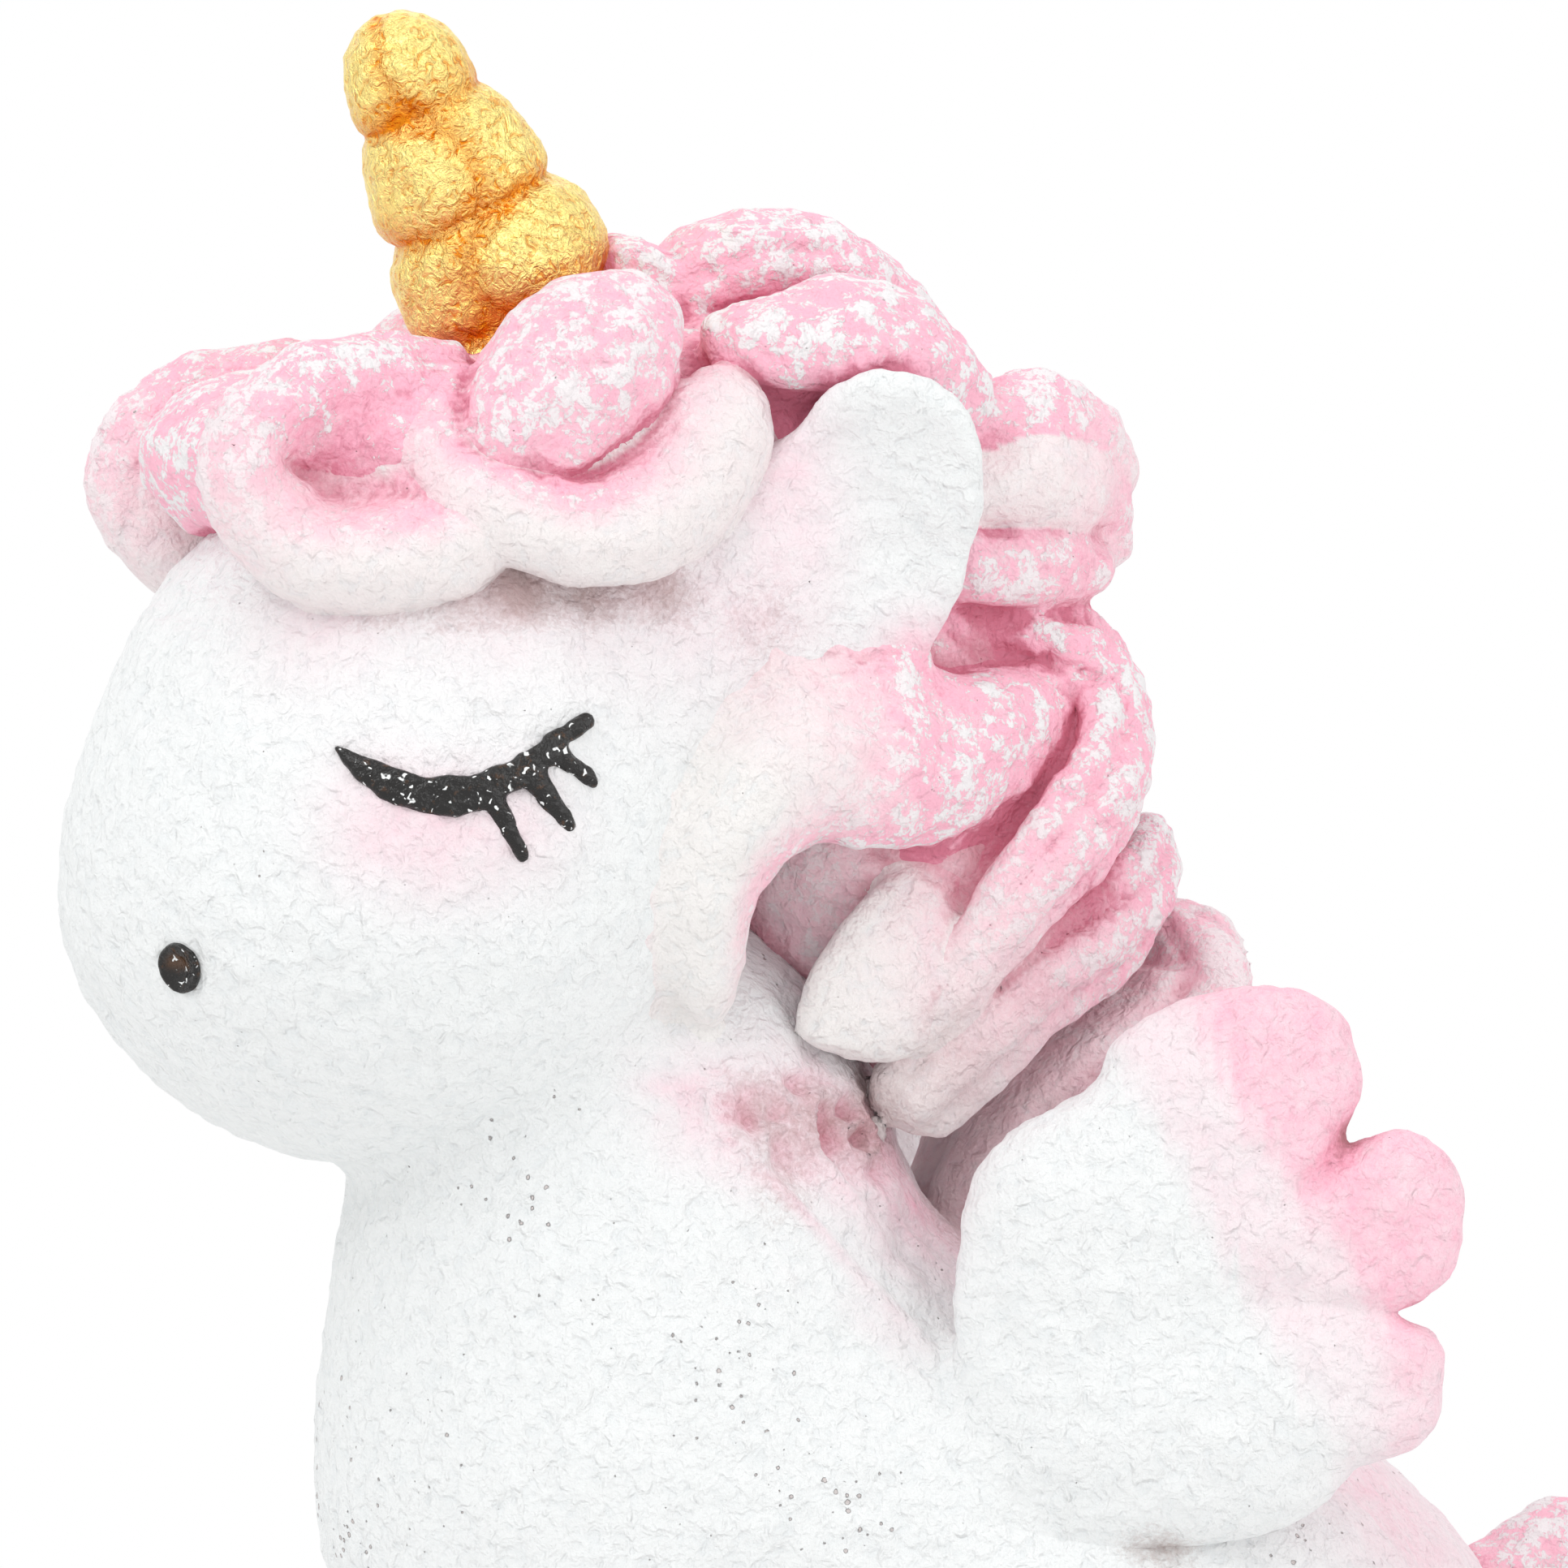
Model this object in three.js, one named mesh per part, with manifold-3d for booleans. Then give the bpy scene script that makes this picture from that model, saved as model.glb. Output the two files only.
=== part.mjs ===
// Seated unicorn ornament, cast in pieces and glued up. Millimetres, +Z up, muzzle towards -X.
import * as THREE from 'three';
import { mergeVertices } from 'three/addons/utils/BufferGeometryUtils.js';
import Module from 'manifold-3d';

const wasm = await Module();
wasm.setup();

// Glue gap left between two neighbouring castings
const GLUE_GAP = 0.3;

// Head: a muzzle egg and a cranium egg run together, ahead of the neck axis
const CHIN_HEIGHT = 49.6;
const HEAD_FORWARD = 15.1;
const MUZZLE = { length: 40.4, width: 39, height: 34.4 };
const CRANIUM = { length: 38.4, width: MUZZLE.width - 4, height: 35 };
const CRANIUM_RISE = 9.2;
const CRANIUM_SETBACK = 2.6;

// Horn: a twisted cone on a round peg
const HORN = { length: 21, baseRadius: 6.4, tipRadius: 3, lean: 23, turns: 2.2, groove: 0.8 };
const HORN_PEG = { radius: 3, length: 8 };

// Mane: a core over the brow, the crown and the nape, narrower than the head, which carries the locks
const BROW_CORE = { length: 27, width: MUZZLE.width - 14, height: 12 };
const CROWN_CORE = { length: 44, width: MUZZLE.width - 13, height: 24 };
const NAPE_CORE = { length: 22, width: MUZZLE.width - 21, height: 36 };
const TOPKNOT = { length: 14.6, width: 13, height: 12.6, sunkInHorn: 1.98 };
const NAPE_BUN = { length: 12.4, width: 17, height: 15.6 };

// Ears and painted enamel
const EAR_THICKNESS = 5;
const LASH = { radius: 0.9, spikeRadius: 0.7, lift: 0.35 };
const NOSTRIL = { width: 2.5, height: 3.1, front: 0.85, up: -0.47 };

// Body: neck, chest, trunk and rump eggs run together, all on the centre plane
const NECK = { length: 33, width: 31, height: 28, belowChin: 1.6 };
const CHEST = { length: 40, width: 38, height: 44, back: 0.7, centreHeight: 31 };
const TRUNK = { length: 60, width: 42, height: 42, back: 19, centreHeight: 24, tilt: 14 };
const RUMP = { length: 56, width: 43, height: 38, back: 30, centreHeight: 16 };

// Legs and hooves
const FORELEG = { radius: 6.6, out: 10.5, back: -9, shoulderHeight: 24 };
const HAUNCH = { length: 34, width: 20, height: 32, back: 30, out: 16, centreHeight: 16 };
const HIND_FOOT = { radius: 6, out: 23, back: 5 };
const HOOF = { soleRadius: 7.8, topRadius: 6.9, height: 7 };

// Wings: a blade and four lobes in one slanting plane beside the trunk
const WING = { thickness: 6, flare: 22.3, rootBack: 15.1, rootOut: 17.5 };
const WING_LOBES = [
  { back: 11.5, height: 42, length: 27, rise: 31 },
  { back: 19.2, height: 53.6, length: 13.5, rise: 12.8 },
  { back: 25, height: 46.5, length: 14.5, rise: 13 },
  { back: 24.6, height: 35.8, length: 13.5, rise: 11 },
  { back: 15, height: 30.6, length: 20, rise: 10 },
];

// Tail
const TAIL = { radius: 4.2, sideRadius: 3.6 };

// Facets: around and along
const EGG_FACETS = [18, 12];
const SMALL_EGG_FACETS = [12, 8];
const BEAD_FACETS = [8, 6];
const LOCK_FACETS = [8, 11];
const LASH_FACETS = [5, 6];
const HORN_FACETS = [12, 16];

const LEFT = -1;
const RIGHT = 1;
const SIDES = [['left', LEFT], ['right', RIGHT]];

const muzzleCentre = new THREE.Vector3(-HEAD_FORWARD, 0, CHIN_HEIGHT + MUZZLE.height / 2);
const craniumCentre = muzzleCentre.clone().add(new THREE.Vector3(CRANIUM_SETBACK, 0, CRANIUM_RISE));
const headTop = craniumCentre.z + CRANIUM.height / 2;
const headCentre = new THREE.Vector3(muzzleCentre.x, 0, (CHIN_HEIGHT + headTop) / 2);
const headHalf = new THREE.Vector3(MUZZLE.length / 2, MUZZLE.width / 2, (headTop - CHIN_HEIGHT) / 2);

// A place about the head, in half lengths forward, half widths outward and half heights up
function byHead(front, out, up, side = LEFT) {
  const x = headCentre.x - front * headHalf.x;
  return new THREE.Vector3(x, side * out * headHalf.y, headCentre.z + up * headHalf.z);
}

// How far outward one egg of the head reaches at a place on the centre plane
function eggReach(size, centre, x, z) {
  const along = (x - centre.x) / (size.length / 2);
  const rise = (z - centre.z) / (size.height / 2);
  return (size.width / 2) * Math.sqrt(Math.max(0, 1 - along * along - rise * rise));
}

// A place on the skin of the head, lifted outward
function onSkin(front, up, side, lift) {
  const place = byHead(front, 0, up, side);
  const muzzle = eggReach(MUZZLE, muzzleCentre, place.x, place.z);
  const cranium = eggReach(CRANIUM, craniumCentre, place.x, place.z);
  place.y = side * (Math.max(muzzle, cranium) + lift);
  return place;
}

function solidOf(geometry) {
  const bare = geometry.clone();
  bare.deleteAttribute('normal');
  bare.deleteAttribute('uv');
  const merged = mergeVertices(bare, 1e-4);
  const vertProperties = new Float32Array(merged.attributes.position.array);
  const triVerts = new Uint32Array(merged.index.array);
  return new wasm.Manifold(new wasm.Mesh({ numProp: 3, vertProperties, triVerts }));
}

function geometryOf(solid) {
  const mesh = solid.getMesh();
  const geometry = new THREE.BufferGeometry();
  geometry.setAttribute('position', new THREE.BufferAttribute(mesh.vertProperties, 3));
  geometry.setIndex(new THREE.BufferAttribute(mesh.triVerts, 1));
  geometry.computeVertexNormals();
  return geometry;
}

// An egg of the given full sizes, turned about Y and then placed
function egg(size, centre, grow, facets = EGG_FACETS, tilt = 0) {
  const geometry = new THREE.SphereGeometry(1, ...facets);
  geometry.rotateX(Math.PI / 2);
  geometry.scale(size.length / 2 + grow, size.width / 2 + grow, size.height / 2 + grow);
  geometry.rotateY(THREE.MathUtils.degToRad(tilt));
  geometry.translate(centre.x, centre.y, centre.z);
  return solidOf(geometry);
}

function valueAlong(values, t) {
  const place = t * (values.length - 1);
  const index = Math.min(Math.floor(place), values.length - 2);
  return THREE.MathUtils.lerp(values[index], values[index + 1], place - index);
}

// A rounded bar along a smooth curve: halves are its half widths, flatness its thickness over width,
// and outward gives the direction of its thickness at a place
function bar(points, halves, flatness, outward, grow, facets = LOCK_FACETS) {
  const capShare = 0.16;
  const path = points.map((point) => point.clone());
  const last = path.length - 1;
  path[0].add(points[0].clone().sub(points[1]).setLength(grow));
  path[last].add(points[last].clone().sub(points[last - 1]).setLength(grow));
  const curve = new THREE.CatmullRomCurve3(path, false, 'centripetal');
  const geometry = new THREE.SphereGeometry(1, ...facets);
  const position = geometry.attributes.position;
  const around = facets[0] + 1;
  for (let index = 0; index < position.count; index += 1) {
    const t = Math.floor(index / around) / facets[1];
    const turn = ((index % around) / facets[0]) * 2 * Math.PI;
    const centre = curve.getPoint(t);
    const tangent = curve.getTangent(t);
    const normal = outward(centre).projectOnPlane(tangent).normalize();
    const across = normal.clone().cross(tangent);
    const toEnd = Math.min(1, Math.min(t, 1 - t) / capShare);
    const half = (valueAlong(halves, t) + grow) * Math.sqrt(1 - (1 - toEnd) ** 2);
    const thick = (valueAlong(halves, t) * flatness + grow) * Math.sqrt(1 - (1 - toEnd) ** 2);
    centre.addScaledVector(across, -Math.cos(turn) * half);
    centre.addScaledVector(normal, Math.sin(turn) * thick);
    position.setXYZ(index, centre.x, centre.y, centre.z);
  }
  return solidOf(geometry);
}

const fromHead = (place) => place.clone().sub(headCentre);
const sideways = (side) => () => new THREE.Vector3(-0.34, side, 0);
const fromAxis = () => new THREE.Vector3(0, 1, 0);

// Lock of the mane given about the head, on one side or on the centre plane
function maneLock(path, halves, flatness, side) {
  const points = path.map(([front, out, up]) => byHead(front, out, up, side));
  return (grow) => bar(points, halves, flatness, fromHead, grow);
}

const pieces = [];
function piece(name, finish, solid) {
  pieces.push({ name, finish, solid });
}

// Finishes
const FINISHES = {
  white: { color: 0xf1f4f4, roughness: 0.75, metalness: 0 },
  pink: { color: 0xf3aac2, roughness: 0.75, metalness: 0 },
  gold: { color: 0xdda02f, roughness: 0.35, metalness: 0.9 },
  enamel: { color: 0x0d0a08, roughness: 0.2, metalness: 0 },
};

// Nostril beads, set in shallow sockets of the muzzle
for (const [word, side] of SIDES) {
  const centre = onSkin(NOSTRIL.front, NOSTRIL.up, side, 0);
  const size = { length: NOSTRIL.width, width: NOSTRIL.width, height: NOSTRIL.height };
  piece(`nostril_${word}`, 'enamel', (grow) => egg(size, centre, grow, BEAD_FACETS));
}

// Wings, whose lower halves sit in sockets of the trunk
function wing(side, grow) {
  const slant = new THREE.Matrix4().makeRotationZ(THREE.MathUtils.degToRad(side * WING.flare));
  slant.setPosition(WING.rootBack, side * WING.rootOut, 0);
  let whole = null;
  for (const lobe of WING_LOBES) {
    const geometry = new THREE.SphereGeometry(1, ...SMALL_EGG_FACETS);
    geometry.rotateX(Math.PI / 2);
    geometry.scale(lobe.length / 2 + grow, WING.thickness / 2 + grow, lobe.rise / 2 + grow);
    geometry.translate(lobe.back, 0, lobe.height);
    geometry.applyMatrix4(slant);
    const solid = solidOf(geometry);
    whole = whole === null ? solid : whole.add(solid);
  }
  return whole;
}
for (const [word, side] of SIDES) {
  piece(`wing_${word}`, 'white', (grow) => wing(side, grow));
}

// Horn, lathed, grooved by a helix, and leaning forward on its peg
function horn(grow) {
  const { length, baseRadius, tipRadius, turns, groove } = HORN;
  const steps = HORN_FACETS[1];
  const profile = [new THREE.Vector2(0, -HORN_PEG.length - grow)];
  profile.push(new THREE.Vector2(HORN_PEG.radius + grow, -HORN_PEG.length - grow));
  profile.push(new THREE.Vector2(HORN_PEG.radius + grow, -grow));
  for (let step = 0; step < steps; step += 1) {
    const t = step / steps;
    const roundTip = Math.sqrt(1 - Math.max(0, (t - 0.85) / 0.15) ** 2);
    const radius = THREE.MathUtils.lerp(baseRadius, tipRadius, t) * roundTip;
    profile.push(new THREE.Vector2(radius + grow, t * (length + grow)));
  }
  profile.push(new THREE.Vector2(0, length + grow));
  const geometry = new THREE.LatheGeometry(profile, HORN_FACETS[0]);
  const position = geometry.attributes.position;
  for (let index = 0; index < position.count; index += 1) {
    const x = position.getX(index);
    const z = position.getZ(index);
    const t = position.getY(index) / length;
    if (t < 0 || Math.hypot(x, z) < HORN_PEG.radius / 2) continue;
    const wave = Math.sin(Math.atan2(z, x) + t * turns * 2 * Math.PI);
    const shrink = 1 - (groove * (1 - wave)) / 2 / baseRadius;
    position.setXYZ(index, x * shrink, position.getY(index), z * shrink);
  }
  geometry.rotateX(Math.PI / 2);
  geometry.rotateY(THREE.MathUtils.degToRad(-HORN.lean));
  const foot = byHead(-0.42, 0, 1.3);
  geometry.translate(foot.x, foot.y, foot.z);
  return solidOf(geometry);
}
piece('horn', 'gold', horn);

// Body casting, cut flat where it sits on the ground
const neckCentre = new THREE.Vector3(0, 0, CHIN_HEIGHT - NECK.belowChin);
const chestCentre = new THREE.Vector3(CHEST.back, 0, CHEST.centreHeight);
const trunkCentre = new THREE.Vector3(TRUNK.back, 0, TRUNK.centreHeight);
const rumpCentre = new THREE.Vector3(RUMP.back, 0, RUMP.centreHeight);
piece('body', 'white', (grow) => egg(NECK, neckCentre, grow)
  .add(egg(CHEST, chestCentre, grow))
  .add(egg(TRUNK, trunkCentre, grow, EGG_FACETS, TRUNK.tilt))
  .add(egg(RUMP, rumpCentre, grow)));

// Head casting, socketed on the neck
piece('head', 'white', (grow) => egg(MUZZLE, muzzleCentre, grow).add(egg(CRANIUM, craniumCentre, grow)));

// Closed eyes: a hanging arc of enamel with three lashes
const EYE_ARC = [[0.45, 0.15], [0.3, 0.02], [0.15, -0.01], [0.02, 0.02], [-0.12, 0.1], [-0.31, 0.23]];
const EYE_LASHES = [
  [[0, 0.01], [-0.06, -0.15]],
  [[-0.11, 0.08], [-0.22, -0.06]],
  [[-0.22, 0.15], [-0.33, 0.07]],
];
function eye(side, grow) {
  const line = (path, radius) => {
    const points = path.map(([front, up]) => onSkin(front, up, side, LASH.lift));
    const halves = points.map((_, index) => (index === 0 ? radius * 0.6 : radius));
    return bar(points, halves, 1, fromHead, grow, LASH_FACETS);
  };
  let whole = line(EYE_ARC, LASH.radius);
  for (const lash of EYE_LASHES) {
    whole = whole.add(line(lash, LASH.spikeRadius));
  }
  return whole;
}
for (const [word, side] of SIDES) {
  piece(`eyelash_${word}`, 'enamel', (grow) => eye(side, grow));
}

// Mane core, over the brow and the crown and down the nape
piece('mane_core', 'pink', (grow) => egg(CROWN_CORE, byHead(-1.04, 0, 0.84), grow)
  .add(egg(BROW_CORE, byHead(0.15, 0, 1.04), grow, SMALL_EGG_FACETS))
  .add(egg(NAPE_CORE, byHead(-1.63, 0, 0.02), grow, SMALL_EGG_FACETS)));

// Ears: broad leaves that face forward and out
const EAR_PATH = [
  [-1.04, 0.6, 0.27], [-1.12, 0.78, 0.5], [-1.15, 0.87, 0.7], [-1.22, 0.95, 0.93], [-1.37, 0.95, 1.17],
];
const EAR_HALVES = [5, 6.4, 6.9, 6.5, 4.4];
for (const [word, side] of SIDES) {
  const points = EAR_PATH.map(([front, out, up]) => byHead(front, out, up, side));
  const flatness = EAR_THICKNESS / 2 / Math.max(...EAR_HALVES);
  piece(`ear_${word}`, 'white', (grow) => bar(points, EAR_HALVES, flatness, sideways(side), grow));
}

// Topknots beside the horn
const topknotOut = HORN.baseRadius + TOPKNOT.width / 2 - TOPKNOT.sunkInHorn;
for (const [word, side] of SIDES) {
  const centre = byHead(-0.34, topknotOut / headHalf.y, 1.19, side);
  piece(`topknot_${word}`, 'pink', (grow) => egg(TOPKNOT, centre, grow, SMALL_EGG_FACETS));
}

// Locks on the centre plane
const CROWN_CENTRE = [
  [-0.75, 0, 1.5], [-0.95, 0, 1.5], [-1.18, 0, 1.53], [-1.4, 0, 1.48], [-1.58, 0, 1.36], [-1.76, 0, 1.2],
];
piece('crown_lock_centre', 'pink', maneLock(CROWN_CENTRE, [3.4, 5, 5.6, 5.4, 4.6, 3], 0.55, LEFT));
piece('nape_bun', 'pink', (grow) => egg(NAPE_BUN, byHead(-2.13, 0, 0.8), grow, SMALL_EGG_FACETS));

// Locks in pairs, from the crown round to the shoulder
const PAIRED_LOCKS = [
  {
    name: 'crown_lock',
    path: [
      [-0.86, 0.41, 1.34], [-1.05, 0.54, 1.31], [-1.28, 0.56, 1.28],
      [-1.51, 0.51, 1.18], [-1.71, 0.41, 1.05],
    ],
    halves: [2.4, 4, 4.4, 3.8, 2.4],
    flatness: 0.9,
  },
  {
    name: 'rear_bang',
    path: [
      [0.09, 0.77, 0.98], [0.03, 0.9, 0.84], [-0.19, 0.94, 0.74], [-0.43, 0.94, 0.74],
      [-0.65, 0.91, 0.85], [-0.81, 0.87, 1.02], [-0.87, 0.77, 1.17], [-0.78, 0.64, 1.25],
    ],
    halves: [2.2, 2.8, 3, 3, 3, 2.8, 2.5, 1.8],
    flatness: 1.1,
  },
  {
    name: 'front_bang',
    path: [
      [0.12, 0.26, 1.23], [0.47, 0.36, 1.18], [0.71, 0.51, 1.02], [0.7, 0.59, 0.82],
      [0.52, 0.72, 0.68], [0.29, 0.82, 0.67], [0.04, 0.87, 0.8],
    ],
    halves: [2.6, 2.8, 2.6, 2.6, 2.8, 2.9, 2.4],
    flatness: 1.2,
  },
  {
    name: 'cheek_lock',
    path: [
      [-1.78, 0.51, 0.38], [-1.65, 0.67, 0.15], [-1.3, 0.85, 0.08], [-0.96, 0.92, 0.05],
      [-0.74, 0.87, -0.13], [-0.69, 0.77, -0.34], [-0.75, 0.68, -0.54], [-0.83, 0.62, -0.65],
    ],
    halves: [3.4, 4.4, 4.7, 4.7, 3.9, 2.7, 1.8, 1],
    flatness: 0.85,
  },
  {
    name: 'inner_lock',
    path: [[-1.8, 0.44, -0.18], [-1.52, 0.6, -0.3], [-1.35, 0.65, -0.47], [-1.26, 0.6, -0.69]],
    halves: [2.2, 2.8, 3.2, 2.6],
    flatness: 0.85,
  },
  {
    name: 'nape_lock',
    path: [
      [-2.13, 0.26, 0.45], [-2.24, 0.33, 0.2], [-2.17, 0.41, -0.03],
      [-1.94, 0.46, -0.23], [-1.71, 0.46, -0.41], [-1.53, 0.44, -0.64],
    ],
    halves: [2.4, 3.2, 3.4, 3.2, 2.8, 1.8],
    flatness: 1.1,
  },
  {
    name: 'shoulder_lock',
    path: [
      [-2.33, 0.18, 0.02], [-2.34, 0.23, -0.2], [-2.14, 0.28, -0.42],
      [-1.87, 0.31, -0.61], [-1.62, 0.33, -0.8], [-1.52, 0.33, -0.9],
    ],
    halves: [2.2, 3, 3.1, 2.9, 2.2, 1.4],
    flatness: 1.1,
  },
];
for (const { name, path, halves, flatness } of PAIRED_LOCKS) {
  for (const [word, side] of SIDES) {
    piece(`${name}_${word}`, 'pink', maneLock(path, halves, flatness, side));
  }
}

// Back lock, from the nape down to the withers
const withers = new THREE.Vector3(TRUNK.back + 2, 0, TRUNK.centreHeight + TRUNK.height / 2 + 1);
const BACK_LOCK = [
  [-2.48, 0, -0.23], [-2.53, 0, -0.44], [-2.37, 0, -0.62], [-2.11, 0, -0.8], [-1.9, 0, -0.96],
];
const backLockPoints = BACK_LOCK.map(([front, out, up]) => byHead(front, out, up)).concat(withers);
const BACK_LOCK_HALVES = [4, 6, 6.2, 5.6, 4.6, 3];
piece('back_lock', 'pink', (grow) => bar(backLockPoints, BACK_LOCK_HALVES, 0.62, fromHead, grow));

// Forelegs under the chest
for (const [word, side] of SIDES) {
  const { radius, out, back, shoulderHeight } = FORELEG;
  const points = [
    new THREE.Vector3(back + 5, side * (out - 1), shoulderHeight),
    new THREE.Vector3(back + 1, side * out, shoulderHeight * 0.55),
    new THREE.Vector3(back, side * out, HOOF.height * 0.3),
  ];
  const halves = [radius, radius, radius * 0.9];
  piece(`foreleg_${word}`, 'white', (grow) => bar(points, halves, 1, fromAxis, grow));
}

// Hind legs: a haunch beside the rump and a foot laid forward
for (const [word, side] of SIDES) {
  const haunchCentre = new THREE.Vector3(HAUNCH.back, side * HAUNCH.out, HAUNCH.centreHeight);
  const { radius, out, back } = HIND_FOOT;
  const points = [
    new THREE.Vector3(HAUNCH.back - 4, side * (HAUNCH.out + 4), radius + 1),
    new THREE.Vector3((HAUNCH.back + back) / 2, side * out, radius),
    new THREE.Vector3(back - HOOF.topRadius / 2, side * out, HOOF.height * 0.8),
  ];
  const halves = [radius, radius, radius * 0.8];
  piece(`hind_leg_${word}`, 'white', (grow) => egg(HAUNCH, haunchCentre, grow, SMALL_EGG_FACETS)
    .add(bar(points, halves, 1, fromAxis, grow)));
}

// Hooves, socketed under the legs
for (const [word, side] of SIDES) {
  for (const [end, leg] of [['front', FORELEG], ['hind', HIND_FOOT]]) {
    piece(`hoof_${end}_${word}`, 'pink', (grow) => {
      const sole = new THREE.Vector2(HOOF.soleRadius + grow, 0);
      const rim = new THREE.Vector2(HOOF.topRadius + grow, HOOF.height + grow);
      const profile = [new THREE.Vector2(0, 0), sole, rim, new THREE.Vector2(0, HOOF.height + grow)];
      const geometry = new THREE.LatheGeometry(profile, EGG_FACETS[0]);
      geometry.rotateX(Math.PI / 2);
      geometry.translate(leg.back, side * leg.out, 0);
      return solidOf(geometry);
    });
  }
}

// Tail: a middle lock that rises from the rump and falls to the ground, and a smaller one each side
const tailRoot = RUMP.back + RUMP.length / 2;
const TAIL_PATH = [[-6, 0, 18], [0, 0, 21.5], [6, 0, 24.5], [11, 0, 22], [12.5, 0, 13], [9, 0, 4]];
const TAIL_SIDE_PATH = [[-5, 5, 13], [2, 7.5, 17], [7, 8, 13], [7, 7.5, 4]];
function tailLock(path, radius, side) {
  const points = path.map(([back, out, height]) => new THREE.Vector3(tailRoot + back, side * out, height));
  const halves = path.map((_, index) => radius * (index === path.length - 1 ? 0.5 : 1));
  return (grow) => bar(points, halves, 1, fromAxis, grow);
}
piece('tail_lock_centre', 'pink', tailLock(TAIL_PATH, TAIL.radius, LEFT));
for (const [word, side] of SIDES) {
  piece(`tail_lock_${word}`, 'pink', tailLock(TAIL_SIDE_PATH, TAIL.sideRadius, side));
}

function touching(a, b) {
  const boxA = a.boundingBox();
  const boxB = b.boundingBox();
  return [0, 1, 2].every((axis) => boxA.min[axis] < boxB.max[axis] && boxB.min[axis] < boxA.max[axis]);
}

// Glue-up: each piece is cut back from those before it, and all stand on the ground plane
const ground = new THREE.BoxGeometry(400, 400, 60);
ground.translate(0, 0, -30);
const groundSolid = solidOf(ground);
const assembly = new THREE.Group();
const placed = [];
for (const { name, finish, solid } of pieces) {
  let whole = solid(0).subtract(groundSolid);
  for (const earlier of placed) {
    if (touching(whole, earlier)) whole = whole.subtract(earlier);
  }
  placed.push(solid(GLUE_GAP));
  const bodies = whole.decompose().sort((a, b) => b.volume() - a.volume());
  const mesh = new THREE.Mesh(geometryOf(bodies[0]), new THREE.MeshStandardMaterial(FINISHES[finish]));
  mesh.name = name;
  assembly.add(mesh);
}

// Origin under the middle of the whole figure
const box = new THREE.Box3().setFromObject(assembly);
assembly.position.set(-(box.min.x + box.max.x) / 2, -(box.min.y + box.max.y) / 2, -box.min.z);

export default assembly;
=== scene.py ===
"""Seated unicorn ornament: the painted surface of a figure cast in pieces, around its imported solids."""

import functools
import itertools
import math

import bpy
import numpy as np
from bpy.props import FloatProperty, FloatVectorProperty, PointerProperty
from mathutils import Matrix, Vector


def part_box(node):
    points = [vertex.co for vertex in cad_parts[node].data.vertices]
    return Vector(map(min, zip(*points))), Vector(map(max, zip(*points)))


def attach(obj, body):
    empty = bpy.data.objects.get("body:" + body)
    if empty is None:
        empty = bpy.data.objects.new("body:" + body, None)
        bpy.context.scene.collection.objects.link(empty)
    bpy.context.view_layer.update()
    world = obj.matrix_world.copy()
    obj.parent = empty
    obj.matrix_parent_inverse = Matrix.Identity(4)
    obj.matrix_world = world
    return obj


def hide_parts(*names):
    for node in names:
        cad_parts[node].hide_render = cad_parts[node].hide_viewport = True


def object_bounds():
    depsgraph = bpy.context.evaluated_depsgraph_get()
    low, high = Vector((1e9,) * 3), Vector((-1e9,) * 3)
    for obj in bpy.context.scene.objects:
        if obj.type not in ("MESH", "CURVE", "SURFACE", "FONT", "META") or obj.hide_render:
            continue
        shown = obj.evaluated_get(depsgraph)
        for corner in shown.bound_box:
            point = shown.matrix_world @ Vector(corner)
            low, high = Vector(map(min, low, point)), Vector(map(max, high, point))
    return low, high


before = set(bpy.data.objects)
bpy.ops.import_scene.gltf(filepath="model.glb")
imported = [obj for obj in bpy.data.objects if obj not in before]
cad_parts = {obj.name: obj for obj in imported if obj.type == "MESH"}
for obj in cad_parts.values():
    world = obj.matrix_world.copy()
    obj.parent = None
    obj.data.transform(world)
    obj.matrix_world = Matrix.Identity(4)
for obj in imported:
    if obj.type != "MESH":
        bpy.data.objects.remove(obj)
CAD_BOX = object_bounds()

bl_info = {
    "name": "Seated unicorn ornament",
    "version": (1, 0, 0),
    "blender": (4, 5, 0),
    "location": "3D View > Sidebar > Ornament",
    "description": "Sculpts and paints a cast unicorn ornament around its packed solids",
    "category": "Add Mesh",
}

# Shapes are worked out in millimetres and put into the scene in metres
MM = 0.001
# Pieces are sculpted on the left flank, where y is negative, and mirrored; these words end their names
LEFT = -1
FLANKS, WHOLE = ("_left", "_right"), ("",)
# Large pieces have their points this much further apart
COARSER = 1.2

# The neck axis is where the solids have it: this far behind the foremost point of the head
HEAD_REACH = 35.3
AXIS_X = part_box("head")[0].x / MM + HEAD_REACH
# Middle of the nape, behind the neck axis
NAPE_BACK = 15

# Head: a muzzle egg and a cranium egg, as half lengths, half widths and half heights
CHIN_HEIGHT = 49.6
MUZZLE_HALF = np.array((20.2, 19.5, 17.2))
CRANIUM_HALF = np.array((19.2, 17.5, 17.5))
MUZZLE_CENTRE = np.array((AXIS_X - 15.1, 0, CHIN_HEIGHT + MUZZLE_HALF[2]))
CRANIUM_CENTRE = MUZZLE_CENTRE + np.array((2.6, 0, 9.2))
HEAD_TOP = CRANIUM_CENTRE[2] + CRANIUM_HALF[2]
HEAD_CENTRE = np.array((MUZZLE_CENTRE[0], 0, (CHIN_HEIGHT + HEAD_TOP) / 2))
HEAD_HALF = np.array((MUZZLE_HALF[0], MUZZLE_HALF[1], (HEAD_TOP - CHIN_HEIGHT) / 2))


def by_head(front, up):
    """A place on the centre plane of the head, in its half lengths forward and half heights up."""
    return HEAD_CENTRE + np.array((-front, 0, up)) * HEAD_HALF


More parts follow.
